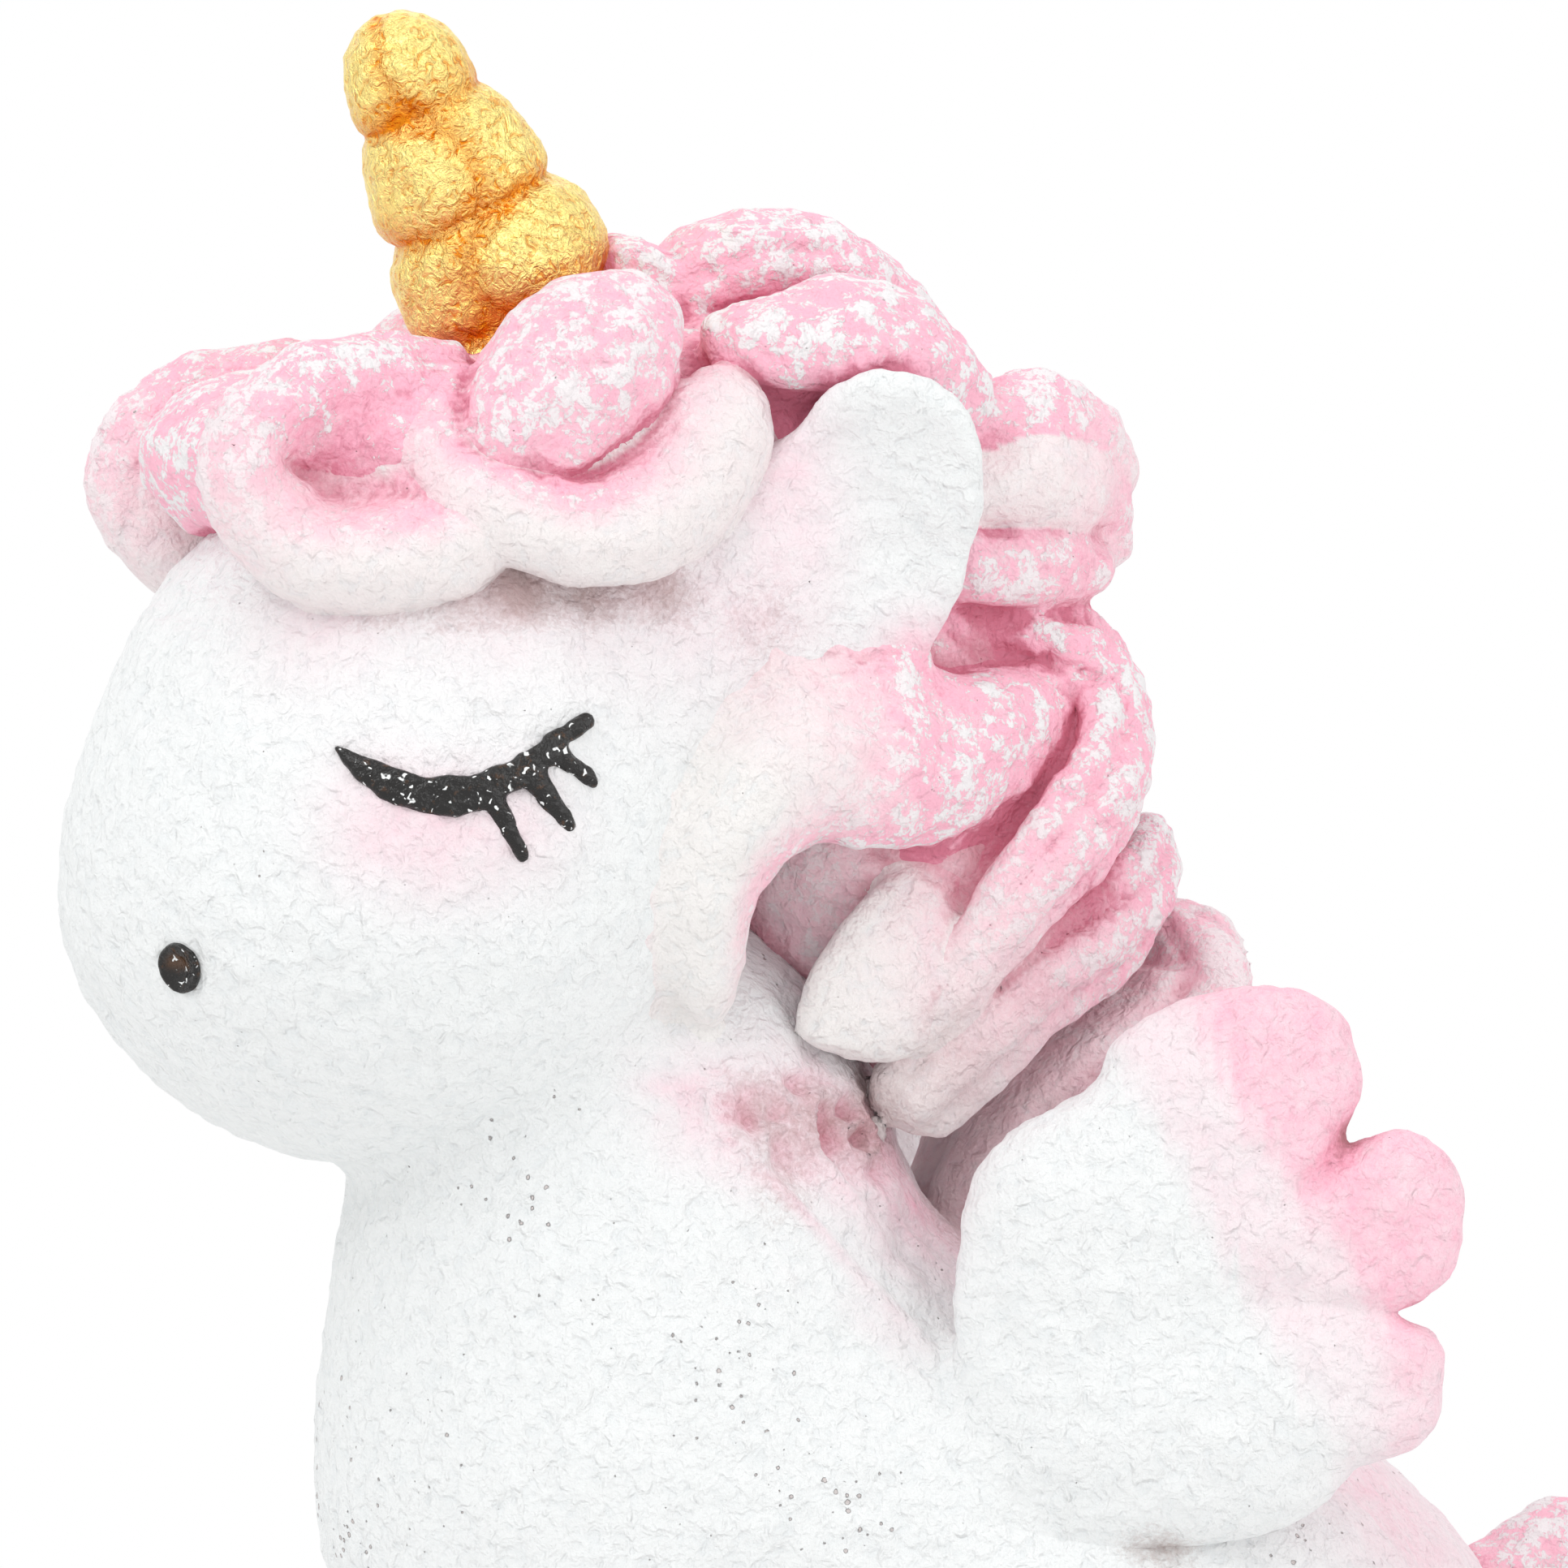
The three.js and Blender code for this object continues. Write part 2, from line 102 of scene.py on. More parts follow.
def by_axis(back, out, height):
    """A place behind the neck axis, out from the centre plane and above the ground."""
    return np.array((AXIS_X + back, out, height))


def on_left(path):
    """Places on the left flank, given as distances back, out and up."""
    return [by_axis(back, LEFT * out, height) for back, out, height in path]


def linear(code):
    """A linear colour from an sRGB hex code."""
    parts = [int(code[i:i + 2], 16) / 255 for i in (0, 2, 4)]
    return [c / 12.92 if c <= 0.04045 else ((c + 0.055) / 1.055) ** 2.4 for c in parts]


def length_setting(name, description, mm, least):
    """A size for the panel, given in mm."""
    return FloatProperty(
        name=name, description=description, default=mm * MM, min=least * MM, unit="LENGTH", precision=5)


def colour_setting(name, description, code):
    """A colour for the panel, given as an sRGB hex code."""
    return FloatVectorProperty(
        name=name, description=description, default=linear(code), min=0, max=1, subtype="COLOR")


class OrnamentSizes(bpy.types.PropertyGroup):
    """Sizes of the modelled details"""
    fineness: length_setting("Fineness", "Spacing of the points on a sculpted skin", 0.4, 0.2)
    horn_length: length_setting("Horn length", "From the mane to the tip of the horn", 22, 5)
    ear_thickness: length_setting("Ear thickness", "Thickness of an ear at its rim", 4.4, 1)
    ear_hollow: length_setting("Ear hollow", "How far the outer face of an ear is dished", 2.2, 0)
    wing_thickness: length_setting("Wing thickness", "Thickness of a wing at the middle of a feather", 6, 1)
    lash_width: length_setting("Lash width", "Width of the painted line of a closed eye", 2.4, 0.5)
    enamel_height: length_setting("Enamel height", "How far thick enamel stands proud of the skin", 0.45, 0.1)
    grain_height: length_setting("Grain height", "Height of the orange-peel grain on the castings", 0.14, 0)
    camera_distance: length_setting("Camera distance", "From the camera to the middle of the view", 600, 200)


class OrnamentPaint(bpy.types.PropertyGroup):
    """Colours of the paints"""
    white: colour_setting("White", "Matt white over the casting", "f1f3f3")
    cream: colour_setting("Cream", "White of the mane, which the brown wash has warmed", "f2efed")
    # Painted shade: greyer white in the hollows of the grain
    grain_shade: colour_setting("White shade", "White in the hollows of the grain", "e3e8ea")
    pink: colour_setting("Pink", "Airbrushed pink", "ffbfd2")
    # Deep pink gathers in creases and also paints their shade
    deep_pink: colour_setting("Deep pink", "Pink where it has run into a crease", "e07494")
    # The wash colour also paints the shade in creases and in the pin holes
    wash: colour_setting("Wash", "Thin brown left in the deepest creases", "a08078")
    gold: colour_setting("Gold", "Brushed gold paint", "ffe68f")
    # Painted shade of the gold: its creases, the undersides of its lumps and the hollows of its crinkles
    gold_shade: colour_setting("Gold shade", "Gold where it has run into a crease", "e88a18")
    enamel: colour_setting("Enamel", "Gloss black of the eyes and nostrils", "0b0806")
    # Brown of the painted sheen on the enamel's ripples and of the painted reflection in a nostril
    enamel_sheen: colour_setting("Thin enamel", "Brown where the black is thin", "4a2d12")


def chosen(context):
    """The sizes and the paints that are set in the panel."""
    return context.scene.ornament_sizes, context.scene.ornament_paint


def egg_field(points, centre, half, power=2.0, axes=None):
    """Distance in mm, near enough, from points to an egg. A power above 2 makes its faces flatter."""
    local = points - centre
    if axes is not None:
        local = local @ np.asarray(axes).T
    share = np.abs(local / half) ** (power - 1)
    size = np.sum(share * np.abs(local / half), axis=-1) ** (1 / power)
    slope = np.linalg.norm(share / half, axis=-1) * np.maximum(size, 1e-6) ** (1 - power)
    return (size - 1) / np.maximum(slope, 1e-6)


def rod_field(points, path, radii):
    """Distance in mm from points to a chain of rods between places with their own radii."""
    nearest = None
    for (start, end), (first, last) in zip(itertools.pairwise(path), itertools.pairwise(radii)):
        run = end - start
        share = np.clip((points - start) @ run / (run @ run), 0, 1)
        gap = np.linalg.norm(points - start - share[..., None] * run, axis=-1)
        distance = gap - first - (last - first) * share
        nearest = distance if nearest is None else np.minimum(nearest, distance)
    return nearest


def joined(one, other, round_by):
    """Two fields run together, with a fillet."""
    share = np.clip(0.5 + (other - one) / (2 * round_by), 0, 1)
    return other + (one - other) * share - round_by * share * (1 - share)


def filleted(own, neighbour, round_by, under=0.15):
    """A piece whose foot runs smoothly onto its neighbour and ends just under the neighbour's skin."""
    return np.maximum(joined(own, neighbour + under, round_by), own - round_by)


def smoothstep(low, high, value):
    share = np.clip((value - low) / (high - low), 0, 1)
    return share * share * (3 - 2 * share)


def speckle(points, size, seed):
    """Smooth noise from -1 to 1, with blots of about the given size in mm."""
    place = points / size
    cell = np.floor(place).astype(np.int64)
    part = place - cell
    part = part * part * (3 - 2 * part)
    total = np.zeros(len(points))
    for corner in itertools.product((0, 1), repeat=3):
        x, y, z = (cell + corner).T
        mixed = (x * 73856093) ^ (y * 19349663) ^ (z * 83492791) ^ (seed * 49979687)
        mixed = ((mixed ^ (mixed >> 13)) * 1274126177) & 0x7FFFFFFF
        value = ((mixed ^ (mixed >> 15)) & 0xFFFF) / 0x7FFF - 1
        total += value * np.prod(np.where(corner, part, 1 - part), axis=1)
    return total


def lattice(axes):
    """Points of a lattice, with its three axes first."""
    return np.stack(np.meshgrid(*axes, indexing="ij"), axis=-1)


def net(field, axes):
    """Quads over the zero level of a field on a lattice, one corner for each cell that the skin crosses."""
    step = axes[0][1] - axes[0][0]
    field = np.pad(field[1:-1, 1:-1, 1:-1], 1, constant_values=step)
    cells = np.array(field.shape) - 1
    quads, places = [], []
    for axis in range(3):
        before = np.delete(field, -1, axis)
        after = np.delete(field, 0, axis)
        index = np.argwhere((before < 0) != (after < 0))
        first, second = before[tuple(index.T)], after[tuple(index.T)]
        crossing = index.astype(float)
        crossing[:, axis] += first / (first - second)
        corners = []
        for back_a, back_b in ((0, 0), (1, 0), (1, 1), (0, 1)):
            cell = index.copy()
            cell[:, (axis + 1) % 3] -= back_a
            cell[:, (axis + 2) % 3] -= back_b
            corners.append(np.ravel_multi_index(cell.T, cells))
        quad = np.stack(corners, axis=1)
        quad[first > 0] = quad[first > 0][:, ::-1]
        quads.append(quad)
        places.append(np.repeat(crossing, 4, axis=0))
    quads = np.concatenate(quads)
    places = np.concatenate(places)
    used, owner = np.unique(quads.ravel(), return_inverse=True)
    count = np.bincount(owner)
    verts = np.stack([np.bincount(owner, places[:, axis]) / count for axis in range(3)], axis=1)
    return np.array([axis[0] for axis in axes]) + verts * step, np.searchsorted(used, quads)


def skin(field_of, low, high, step):
    """Quads over the zero level of a field, closed at a box."""
    axes = [np.arange(a - 2 * step, b + 2.5 * step, step) for a, b in zip(low, high)]
    return net(field_of(lattice(axes)), axes)


def normals_of(verts, faces):
    """Unit normals at the corners of a mesh of quads."""
    corner = verts[faces]
    area = np.repeat(np.cross(corner[:, 2] - corner[:, 0], corner[:, 3] - corner[:, 1]), 4, axis=0)
    total = np.stack([np.bincount(faces.ravel(), area[:, axis], len(verts)) for axis in range(3)], axis=1)
    return total / np.maximum(np.linalg.norm(total, axis=1, keepdims=True), 1e-12)


def curve_through(points, share):
    """Places on a centripetal Catmull-Rom curve through points, at shares from 0 to 1 of its spans."""
    points = np.asarray(points, float)
    ends = 2 * points[[0, -1]] - points[[1, -2]]
    padded = np.concatenate((ends[:1], points, ends[1:]))
    place = share * (len(points) - 1)
    span = np.minimum(place.astype(int), len(points) - 2)
    p0, p1, p2, p3 = (padded[span + i] for i in range(4))
    d0, d1, d2 = (
        np.linalg.norm(b - a, axis=1)[:, None] ** 0.5 for a, b in ((p0, p1), (p1, p2), (p2, p3)))
    leave = ((p1 - p0) / d0 - (p2 - p0) / (d0 + d1) + (p2 - p1) / d1) * d1
    arrive = ((p2 - p1) / d1 - (p3 - p1) / (d1 + d2) + (p3 - p2) / d2) * d1
    t = (place - span)[:, None]
    bend = -3 * p1 + 3 * p2 - 2 * leave - arrive
    return p1 + leave * t + bend * t ** 2 + (2 * p1 - 2 * p2 + leave + arrive) * t ** 3


def along(values, share):
    return np.interp(share, np.linspace(0, 1, len(values)), values)


def from_head(places):
    return places - HEAD_CENTRE


def from_nape(places):
    return (places - by_axis(NAPE_BACK, 0, 0)) * (1, 1, 0)


def sideways(places):
    return np.tile((0.0, 1.0, 0.0), (len(places), 1))


# Share of a lock's length over which each of its ends is rounded
LOCK_CAP = 0.16


def stations(path, halves, outward, cap=LOCK_CAP, count=80):
    """Places along a lock of clay, its directions ahead, across and through, and its half widths there."""
    share = np.linspace(0, 1, count)
    centre = curve_through(path, share)
    ahead = np.gradient(centre, axis=0)
    ahead /= np.linalg.norm(ahead, axis=1, keepdims=True)
    through = outward(centre)
    through = through - np.sum(through * ahead, axis=1, keepdims=True) * ahead
    through /= np.linalg.norm(through, axis=1, keepdims=True)
    to_end = np.minimum(1, np.minimum(share, 1 - share) / cap)
    half = along(halves, share) * np.sqrt(1 - (1 - to_end) ** 2)
    return centre, ahead, np.cross(through, ahead), through, half


def about_lock(points, lock):
    """For points about a lock: share of its length, places across, through and ahead, and its half width."""
    centre, ahead, across, through, half = lock
    nearest = np.empty(len(points), int)
    for rows in np.array_split(np.arange(len(points)), len(points) // 100000 + 1):
        gaps = np.sum(centre ** 2, axis=1) - 2 * points[rows] @ centre.T
        nearest[rows] = np.argmin(gaps, axis=1)
    spacing = np.linalg.norm(np.gradient(centre, axis=0), axis=1)
    run = np.sum((points - centre[nearest]) * ahead[nearest], axis=1) / spacing[nearest]
    place = np.clip(nearest + run, 0, len(centre) - 1)
    first = np.minimum(place.astype(int), len(centre) - 2)
    part = (place - first)[:, None]
    middle, ahead, across, through = (
        values[first] * (1 - part) + values[first + 1] * part for values in (centre, ahead, across, through))
    half = half[first] * (1 - part[:, 0]) + half[first + 1] * part[:, 0]
    off = points - middle
    return (place / (len(centre) - 1), np.sum(off * across, axis=1), np.sum(off * through, axis=1),
            np.sum(off * ahead, axis=1), half)


def capped(distance, over):
    """A distance across a lock, rounded for points that lie over one of its ends."""
    return np.minimum(distance, 0) + np.hypot(np.maximum(distance, 0), over)


def lock_field(points, lock, flatness, strands, turns, depth):
    """Distance in mm, near enough, to a lock whose creases run along it and turn round it."""
    share, wide, high, over, half = about_lock(points.reshape(-1, 3), lock)
    tall = high / flatness
    size = np.maximum(np.hypot(wide, tall), 1e-6)
    distance = (size - half) * size / np.maximum(np.hypot(wide, tall / flatness), 1e-6)
    phase = strands * np.arctan2(tall, wide) / 2 + math.pi * (turns * share)
    distance += depth * half * (1 - np.abs(np.sin(phase))) ** 2
    return capped(distance, over).reshape(points.shape[:-1])


def box_about(places, margin):
    """Low and high corner of the box about places, with a margin."""
    places = np.asarray(places)
    return places.min(axis=0) - margin, places.max(axis=0) + margin


def noise(points, layers):
    """Layers of smooth noise, given as (size, height, seed) in mm."""
    return sum(height * speckle(points, size, seed) for size, height, seed in layers)


def roughened(verts, faces, layers):
    """The mesh with layers of noise along its normals."""
    return verts + normals_of(verts, faces) * noise(verts, layers)[:, None]


def add_pieces(name, node, verts, faces, finish, paint, tint=None, grain=(), words=FLANKS):
    """Puts a mesh in mm, and its mirror image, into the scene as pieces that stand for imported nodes.

    One piece is made for each word, which ends its name and its node's. A piece with a grain is roughened.
    The tint is how much of the second colour of its paint each corner has, airbrushed unless it is given.
    """
    slot, surface, *settings = FINISHES[finish]
    material = finished(finish, surface, paint, *settings)
    for word, (verts, faces) in zip(words, ((verts, faces), (verts * (1, -1, 1), faces[:, ::-1]))):
        if grain:
            verts = roughened(verts, faces, grain)
        verts[:, 2] = np.maximum(verts[:, 2], 0)
        amount = airbrushed(verts, AIRBRUSH) if tint is None else np.broadcast_to(tint, len(verts))
        mesh = bpy.data.meshes.new(name + word)
        mesh.from_pydata((verts * MM).tolist(), [], faces.tolist())
        mesh.shade_smooth()
        layer = mesh.attributes.new("tint", "FLOAT", "POINT")
        layer.data.foreach_set("value", amount.astype(np.float32))
        mesh.materials.append(material)
        piece = bpy.data.objects.new(name + word, mesh)
        bpy.context.scene.collection.objects.link(piece)
        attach(piece, "root")
        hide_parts(node + word)


def airbrushed(verts, spots):
    """Amount of paint from spots sprayed on both flanks, as (back, out, height, radius, strength)."""
    folded = verts * (1, 0, 1) + np.abs(verts) * (0, 1, 0)
    bare = np.ones(len(verts))
    for back, out, height, radius, strength in spots:
        gap = np.linalg.norm(folded - by_axis(back, out, height), axis=1) / radius
        bare *= 1 - strength * np.exp(-gap * gap)
    return 1 - bare


def add_node(tree, kind, inputs=None, **settings):
    """Adds a shader node with its settings, and with values or links for its inputs. Gives its outputs."""
    node = tree.nodes.new("ShaderNode" + kind)
    for key, value in settings.items():
        setattr(node, key, value)
    for key, value in (inputs or {}).items():
        if isinstance(value, bpy.types.NodeSocket):
            tree.links.new(value, node.inputs[key])
        else:
            node.inputs[key].default_value = value
    return node.outputs


def emptied(owner):
    """Empties the node tree of a material or a world, and gives the function that adds nodes to it."""
    owner.use_nodes = True
    owner.node_tree.nodes.clear()
    return functools.partial(add_node, owner.node_tree)


def finished(name, surface, *settings):
    """The material of that name, made when it is first asked for by the function of its surface."""
    material = bpy.data.materials.get(name)
    if material is None:
        material = bpy.data.materials.new(name)
        node = emptied(material)
        node("OutputMaterial", {0: surface(node, *settings)})
    return material


def size_in(mm):
    """Texture scale, in metre coordinates, for blots of that many mm."""
    return 1 / (mm * MM)


def colour_of(paint):
    return (*paint, 1.0)


# Height of the dabs of paint on resin, of the crinkles in gold and of the ripples in enamel
RESIN_RELIEF, GOLD_RELIEF, ENAMEL_RELIEF = 0.55, 0.45, 0.25


def painted_resin(node, paint, first, dry_brush, wash, openness):
    """Filled casting resin with an open, pitted skin, under sprayed matt paint.

    The eye sees a chalky, dabbed surface like fine stucco, greyer in the hollows of its grain as a painted
    shade, pin holes where air was trapped, darkened as a painted shade, deep pink and brown wash that gather
    in creases and also paint the shade there, and white left on raised grain where a dry brush has gone over
    it.
    """
    place = node("TexCoord")["Object"]
    pink, shade_and_wash, ridge = (
        node("Attribute", attribute_name=word)["Fac"] for word in ("tint", "shade_and_wash", "ridge"))
    grain, dabs, lace, patch, cluster = (
        node("TexNoise", {"Vector": place, "Scale": size_in(size), "Detail": detail, "Roughness": roughness,
                          "Distortion": distortion})["Fac"]
        for size, detail, roughness, distortion in (
            (0.45, 3.0, 0.6, 0.0), (1.1, 2.0, 0.5, 0.6), (0.42, 3.0, 0.65, 0.8), (1.7, 3.0, 0.6, 0.0),
            (11, 2.0, 0.5, 0.0)))
    holes = node("TexVoronoi", {"Vector": place, "Scale": size_in(0.7)})

    # Painted shade: greyer white in the hollows of the grain
    height = node("Math", {0: grain, 1: 0.45, 2: dabs}, operation="MULTIPLY_ADD")[0]
    hollow = node("MapRange", {"Value": height, "From Min": 0.72, "From Max": 0.5, "To Max": 0.4})[0]

    # Spray that is thin in patches and breaks up on the grain
    thin = node("Math", {0: patch, 1: -1.1, 2: 1.2}, operation="MULTIPLY_ADD")[0]
    broken = node("Math", {0: grain, 1: 0.6, 2: thin}, operation="MULTIPLY_ADD")[0]
    sprayed = node("Math", {0: pink, 1: broken}, operation="MULTIPLY", use_clamp=True)[0]

    # Deep pink and brown wash that gather in creases, held by the grain; they also paint the shade of the
    # creases
    caught_and_shaded = node("Math", {0: lace, 1: -0.9, 2: 0.45}, operation="MULTIPLY_ADD")[0]
    caught_and_shaded = node("Math", {0: caught_and_shaded, 1: shade_and_wash}, operation="ADD")[0]
    deepening = node("Math", {0: caught_and_shaded, 1: pink}, operation="MULTIPLY")[0]
    deepening = node("MapRange", {"Value": deepening, "From Min": 0.03, "From Max": 0.8, "To Max": 0.9})[0]
    settled_and_shaded = node("MapRange", {"Value": caught_and_shaded, "From Min": 0.25, "From Max": 0.8, "To Max": wash})[0]

    # White of the dry brush, which covers more where the clay stands proud and misses the creases
    cover = node("Math", {0: ridge, 1: 0.2, 2: patch}, operation="MULTIPLY_ADD")[0]
    cover = node("Math", {0: shade_and_wash, 1: -0.4, 2: cover}, operation="MULTIPLY_ADD")[0]
    ahead = node("Math", {0: cover, 1: lace}, operation="SUBTRACT")[0]
    fleck = node("MapRange", {"Value": ahead, "From Min": 0.06, "From Max": 0.15, "To Max": dry_brush})[0]
    fleck = node("Math", {0: fleck, 1: pink}, operation="MULTIPLY")[0]

    # Ragged pin holes in a share of the cells, more in some wide patches, darkened with the wash colour as
    # painted shade
    chance = node("SeparateColor", {0: holes["Color"]})[0]
    odds = node("Math", {0: cluster, 1: 2.0, 2: chance}, operation="MULTIPLY_ADD")[0]
    width = node("MapRange", {
        "Value": odds, "From Min": 1.85 - openness, "From Max": 2.45 - openness, "To Max": 0.24})[0]
    reach = node("Math", {0: grain, 1: 0.5, 2: holes["Distance"]}, operation="MULTIPLY_ADD")[0]
    inside = node("Math", {0: width, 1: reach}, operation="SUBTRACT")[0]
    pit = node("MapRange", {"Value": inside, "From Min": -0.25, "From Max": -0.18})[0]
    shade = node("Math", {0: pit, 1: 0.45}, operation="MULTIPLY")[0]

    colour = colour_of(getattr(paint, first))
    # Coats: painted shade in the grain, pink spray, deep pink and brown wash with the painted shade of
    # creases, dry-brush white, painted shade in the pin holes
    for amount, coat in ((hollow, paint.grain_shade), (sprayed, paint.pink), (deepening, paint.deep_pink),
                         (settled_and_shaded, paint.wash), (fleck, paint.white), (shade, paint.wash)):
        colour = node("Mix", {0: amount, 6: colour, 7: colour_of(coat)}, data_type="RGBA")[2]
    height = node("Math", {0: fleck, 1: 0.06, 2: height}, operation="MULTIPLY_ADD")[0]
    height = node("Math", {0: height, 1: pit}, operation="SUBTRACT")[0]
    normal = node("Bump", {"Height": height, "Strength": 0.9, "Distance": RESIN_RELIEF * MM})[0]
    return node("BsdfPrincipled", {
        "Base Color": colour, "Roughness": 0.78, "IOR": 1.5, "Normal": normal})[0]


def gold_paint(node, paint):
    """Acrylic gold with mica flakes, brushed thickly over the horn.

    The eye sees a crinkled, foil-like metal, pale where it faces out, with orange painted shade in its
    creases and hollows.
    """
    place = node("TexCoord")["Object"]
    # The tint holds painted shade: orange in the grooves and under the lumps of the horn
    crease = node("Attribute", attribute_name="tint")["Fac"]
    crinkle = node("TexNoise", {
        "Vector": place, "Scale": size_in(0.7), "Detail": 3.0, "Roughness": 0.6, "Distortion": 1.2})["Fac"]
    flow = node("TexNoise", {"Vector": place, "Scale": size_in(3.0), "Detail": 2.0})["Fac"]
    thin = node("MapRange", {"Value": flow, "From Min": 0.5, "From Max": 0.72, "To Max": 0.12})[0]
    # Painted shade in the hollows of the crinkles
    crinkle_shade = node("MapRange", {"Value": crinkle, "From Min": 0.47, "From Max": 0.34, "To Max": 0.6})[0]
    shade = node("Math", {0: crease, 1: 0.85, 2: thin}, operation="MULTIPLY_ADD")[0]
    shade = node("Math", {0: shade, 1: crinkle_shade}, operation="ADD", use_clamp=True)[0]
    colour = node("Mix", {
        0: shade, 6: colour_of(paint.gold), 7: colour_of(paint.gold_shade)}, data_type="RGBA")[2]
    normal = node("Bump", {"Height": crinkle, "Strength": 1.0, "Distance": GOLD_RELIEF * MM})[0]
    return node("BsdfPrincipled", {
        "Base Color": colour, "Metallic": 0.9, "Roughness": 0.27, "Normal": normal})[0]


def black_enamel(node, paint):
    """Solvent enamel laid on thickly with a fine brush.

    The eye sees a wet gloss black with ripples of the brush, a painted brown sheen on their crests, a painted
    brown reflection in a nostril, and white specks that are painted glints.
    """
    place = node("TexCoord")["Object"]
    # The tint is a painted reflection: brown in the upper half of a nostril
    nostril_reflection = node("Attribute", attribute_name="tint")["Fac"]
    film = node("TexNoise", {
        "Vector": place, "Scale": size_in(0.6), "Detail": 3.0, "Roughness": 0.6})["Fac"]
    grain = node("TexNoise", {
        "Vector": place, "Scale": size_in(0.42), "Detail": 1.0, "Distortion": 0.6})["Fac"]
    # Painted sheen: brown on the crests of the ripples, together with the painted reflection in a nostril
    thin = node("MapRange", {"Value": film, "From Min": 0.58, "From Max": 0.7, "To Max": 0.8})[0]
    thin = node("Math", {0: thin, 1: nostril_reflection}, operation="MAXIMUM")[0]
    # Painted glints: white specks on the film
    bare = node("MapRange", {"Value": grain, "From Min": 0.66, "From Max": 0.7})[0]
    colour = colour_of(paint.enamel)
    for amount, coat in ((thin, paint.enamel_sheen), (bare, paint.white)):
        colour = node("Mix", {0: amount, 6: colour, 7: colour_of(coat)}, data_type="RGBA")[2]
    normal = node("Bump", {"Height": film, "Strength": 1.0, "Distance": ENAMEL_RELIEF * MM})[0]
    return node("BsdfPrincipled", {
        "Base Color": colour, "Roughness": 0.15, "IOR": 1.5, "Normal": normal})[0]


# Finishes: slot and surface, and for resins the first colour, the strength of the dry brush and of the wash
# with its painted shade, and how open the skin is. White is left with the pin holes of the mould, or has most
# of them rubbed down
POROUS, RUBBED, CLAY = "Porous white resin", "Rubbed white resin", "Pink dry-brushed resin"
GOLD, ENAMEL = "Brushed gold paint", "Gloss black enamel"
FINISHES = {
    POROUS: ("cast_white", painted_resin, "white", 0.0, 0.6, 0.25),
    RUBBED: ("cast_white", painted_resin, "white", 0.0, 0.6, -0.15),
    CLAY: ("mane_pink", painted_resin, "cream", 0.9, 0.2, -0.2),
    GOLD: ("horn_gold", gold_paint),
    ENAMEL: ("black_enamel", black_enamel),
}


# Body: neck, chest, trunk and rump eggs on the centre plane, as half sizes, and the space that they fill
NECK = (by_axis(0, 0, CHIN_HEIGHT - 1.6), np.array((16.5, 15.5, 18)))
CHEST = (by_axis(0.7, 0, 31), np.array((20, 19, 22)))
TRUNK = (by_axis(19, 0, 24), np.array((30, 21, 21)))
TRUNK_TILT = -14
RUMP = (by_axis(30, 0, 16), np.array((28, 21.5, 19)))
BODY_BOX = (by_axis(-23, -26, -1), by_axis(62, 26, 66))
# Fillets within the head, between neck and chest, between trunk and rump, and between those two pairs
HEAD_FILLET, NECK_FILLET, RUMP_FILLET, BODY_FILLET = 6, 8, 6, 5
# Fillets where the body meets the head and the wings, and where it meets the legs
CAST_FILLET, LEG_FILLET = 2.5, 4
# Where the skin of the head is looked for, as a share of its half width, and halvings of that reach
SKIN_REACH, HALVINGS = 1.3, 40


def tilted(degrees):
    """Axes turned about the y axis, so that the first rises by that angle."""
    turn = math.radians(degrees)
    return np.array(((math.cos(turn), 0, math.sin(turn)), (0, 1, 0), (-math.sin(turn), 0, math.cos(turn))))


def head_field(points):
    muzzle = egg_field(points, MUZZLE_CENTRE, MUZZLE_HALF)
    return joined(muzzle, egg_field(points, CRANIUM_CENTRE, CRANIUM_HALF), HEAD_FILLET)


def body_field(points):
    front = joined(egg_field(points, *NECK), egg_field(points, *CHEST), NECK_FILLET)
    trunk = egg_field(points, *TRUNK, axes=tilted(TRUNK_TILT))
    return joined(front, joined(trunk, egg_field(points, *RUMP), RUMP_FILLET), BODY_FILLET)


def grounded(field, points):
    """A field cut flat where the figure sits on the ground."""
    return np.maximum(field, -points[..., 2])


def head_place(front, up):
    """The place on the left skin of the head that has those shares forward and up."""
    x, _, z = by_head(front, up)
    low, high = 0.0, HEAD_HALF[1] * SKIN_REACH
    for _ in range(HALVINGS):
        middle = (low + high) / 2
        inside = head_field(np.array((x, LEFT * middle, z))) < 0
        low, high = (middle, high) if inside else (low, middle)
    return np.array((x, LEFT * low, z))


# Pink sprayed on the castings, as (back, out, height, radius, strength): cheeks, brow, ears, neck and rump
AIRBRUSH = (
    (-21.2, 17, 71, 3.6, 0.38), (-17.9, 17.5, 70, 3.6, 0.38), (-13.7, 17, 70.6, 3.6, 0.38),
    (-23.6, 13, 83.5, 4.5, 0.28), (-14, 15, 83.5, 5, 0.2), (-4, 15, 84, 6, 0.2), (3.4, 15, 83, 4.5, 0.22),
    (3.6, 17, 92.5, 3.2, 0.55), (5.5, 17, 88.5, 3.6, 0.25), (13.3, 15, 80.6, 2.4, 0.8),
    (-0.4, 14, 54, 3.5, 0.25), (4.5, 13.5, 53, 4, 0.25), (9, 12.5, 51.6, 4.5, 0.3), (15.2, 10, 48.5, 5, 0.5),
    (24, 8, 46, 7, 0.4), (44, 12, 27, 10, 0.5), (55, 0, 20, 8, 0.7))
# Glue squeezed out and left rough where the head sits on the neck, and the height of its folds
SEAM = (
    (-1.5, 14, 54.5, 2.6, 0.7), (3, 14, 53.5, 3.4, 1.0), (7.5, 13, 52.8, 3.6, 1.0),
    (11.5, 11.5, 51.8, 3, 1.0))
FOLD_HEIGHT = 0.8
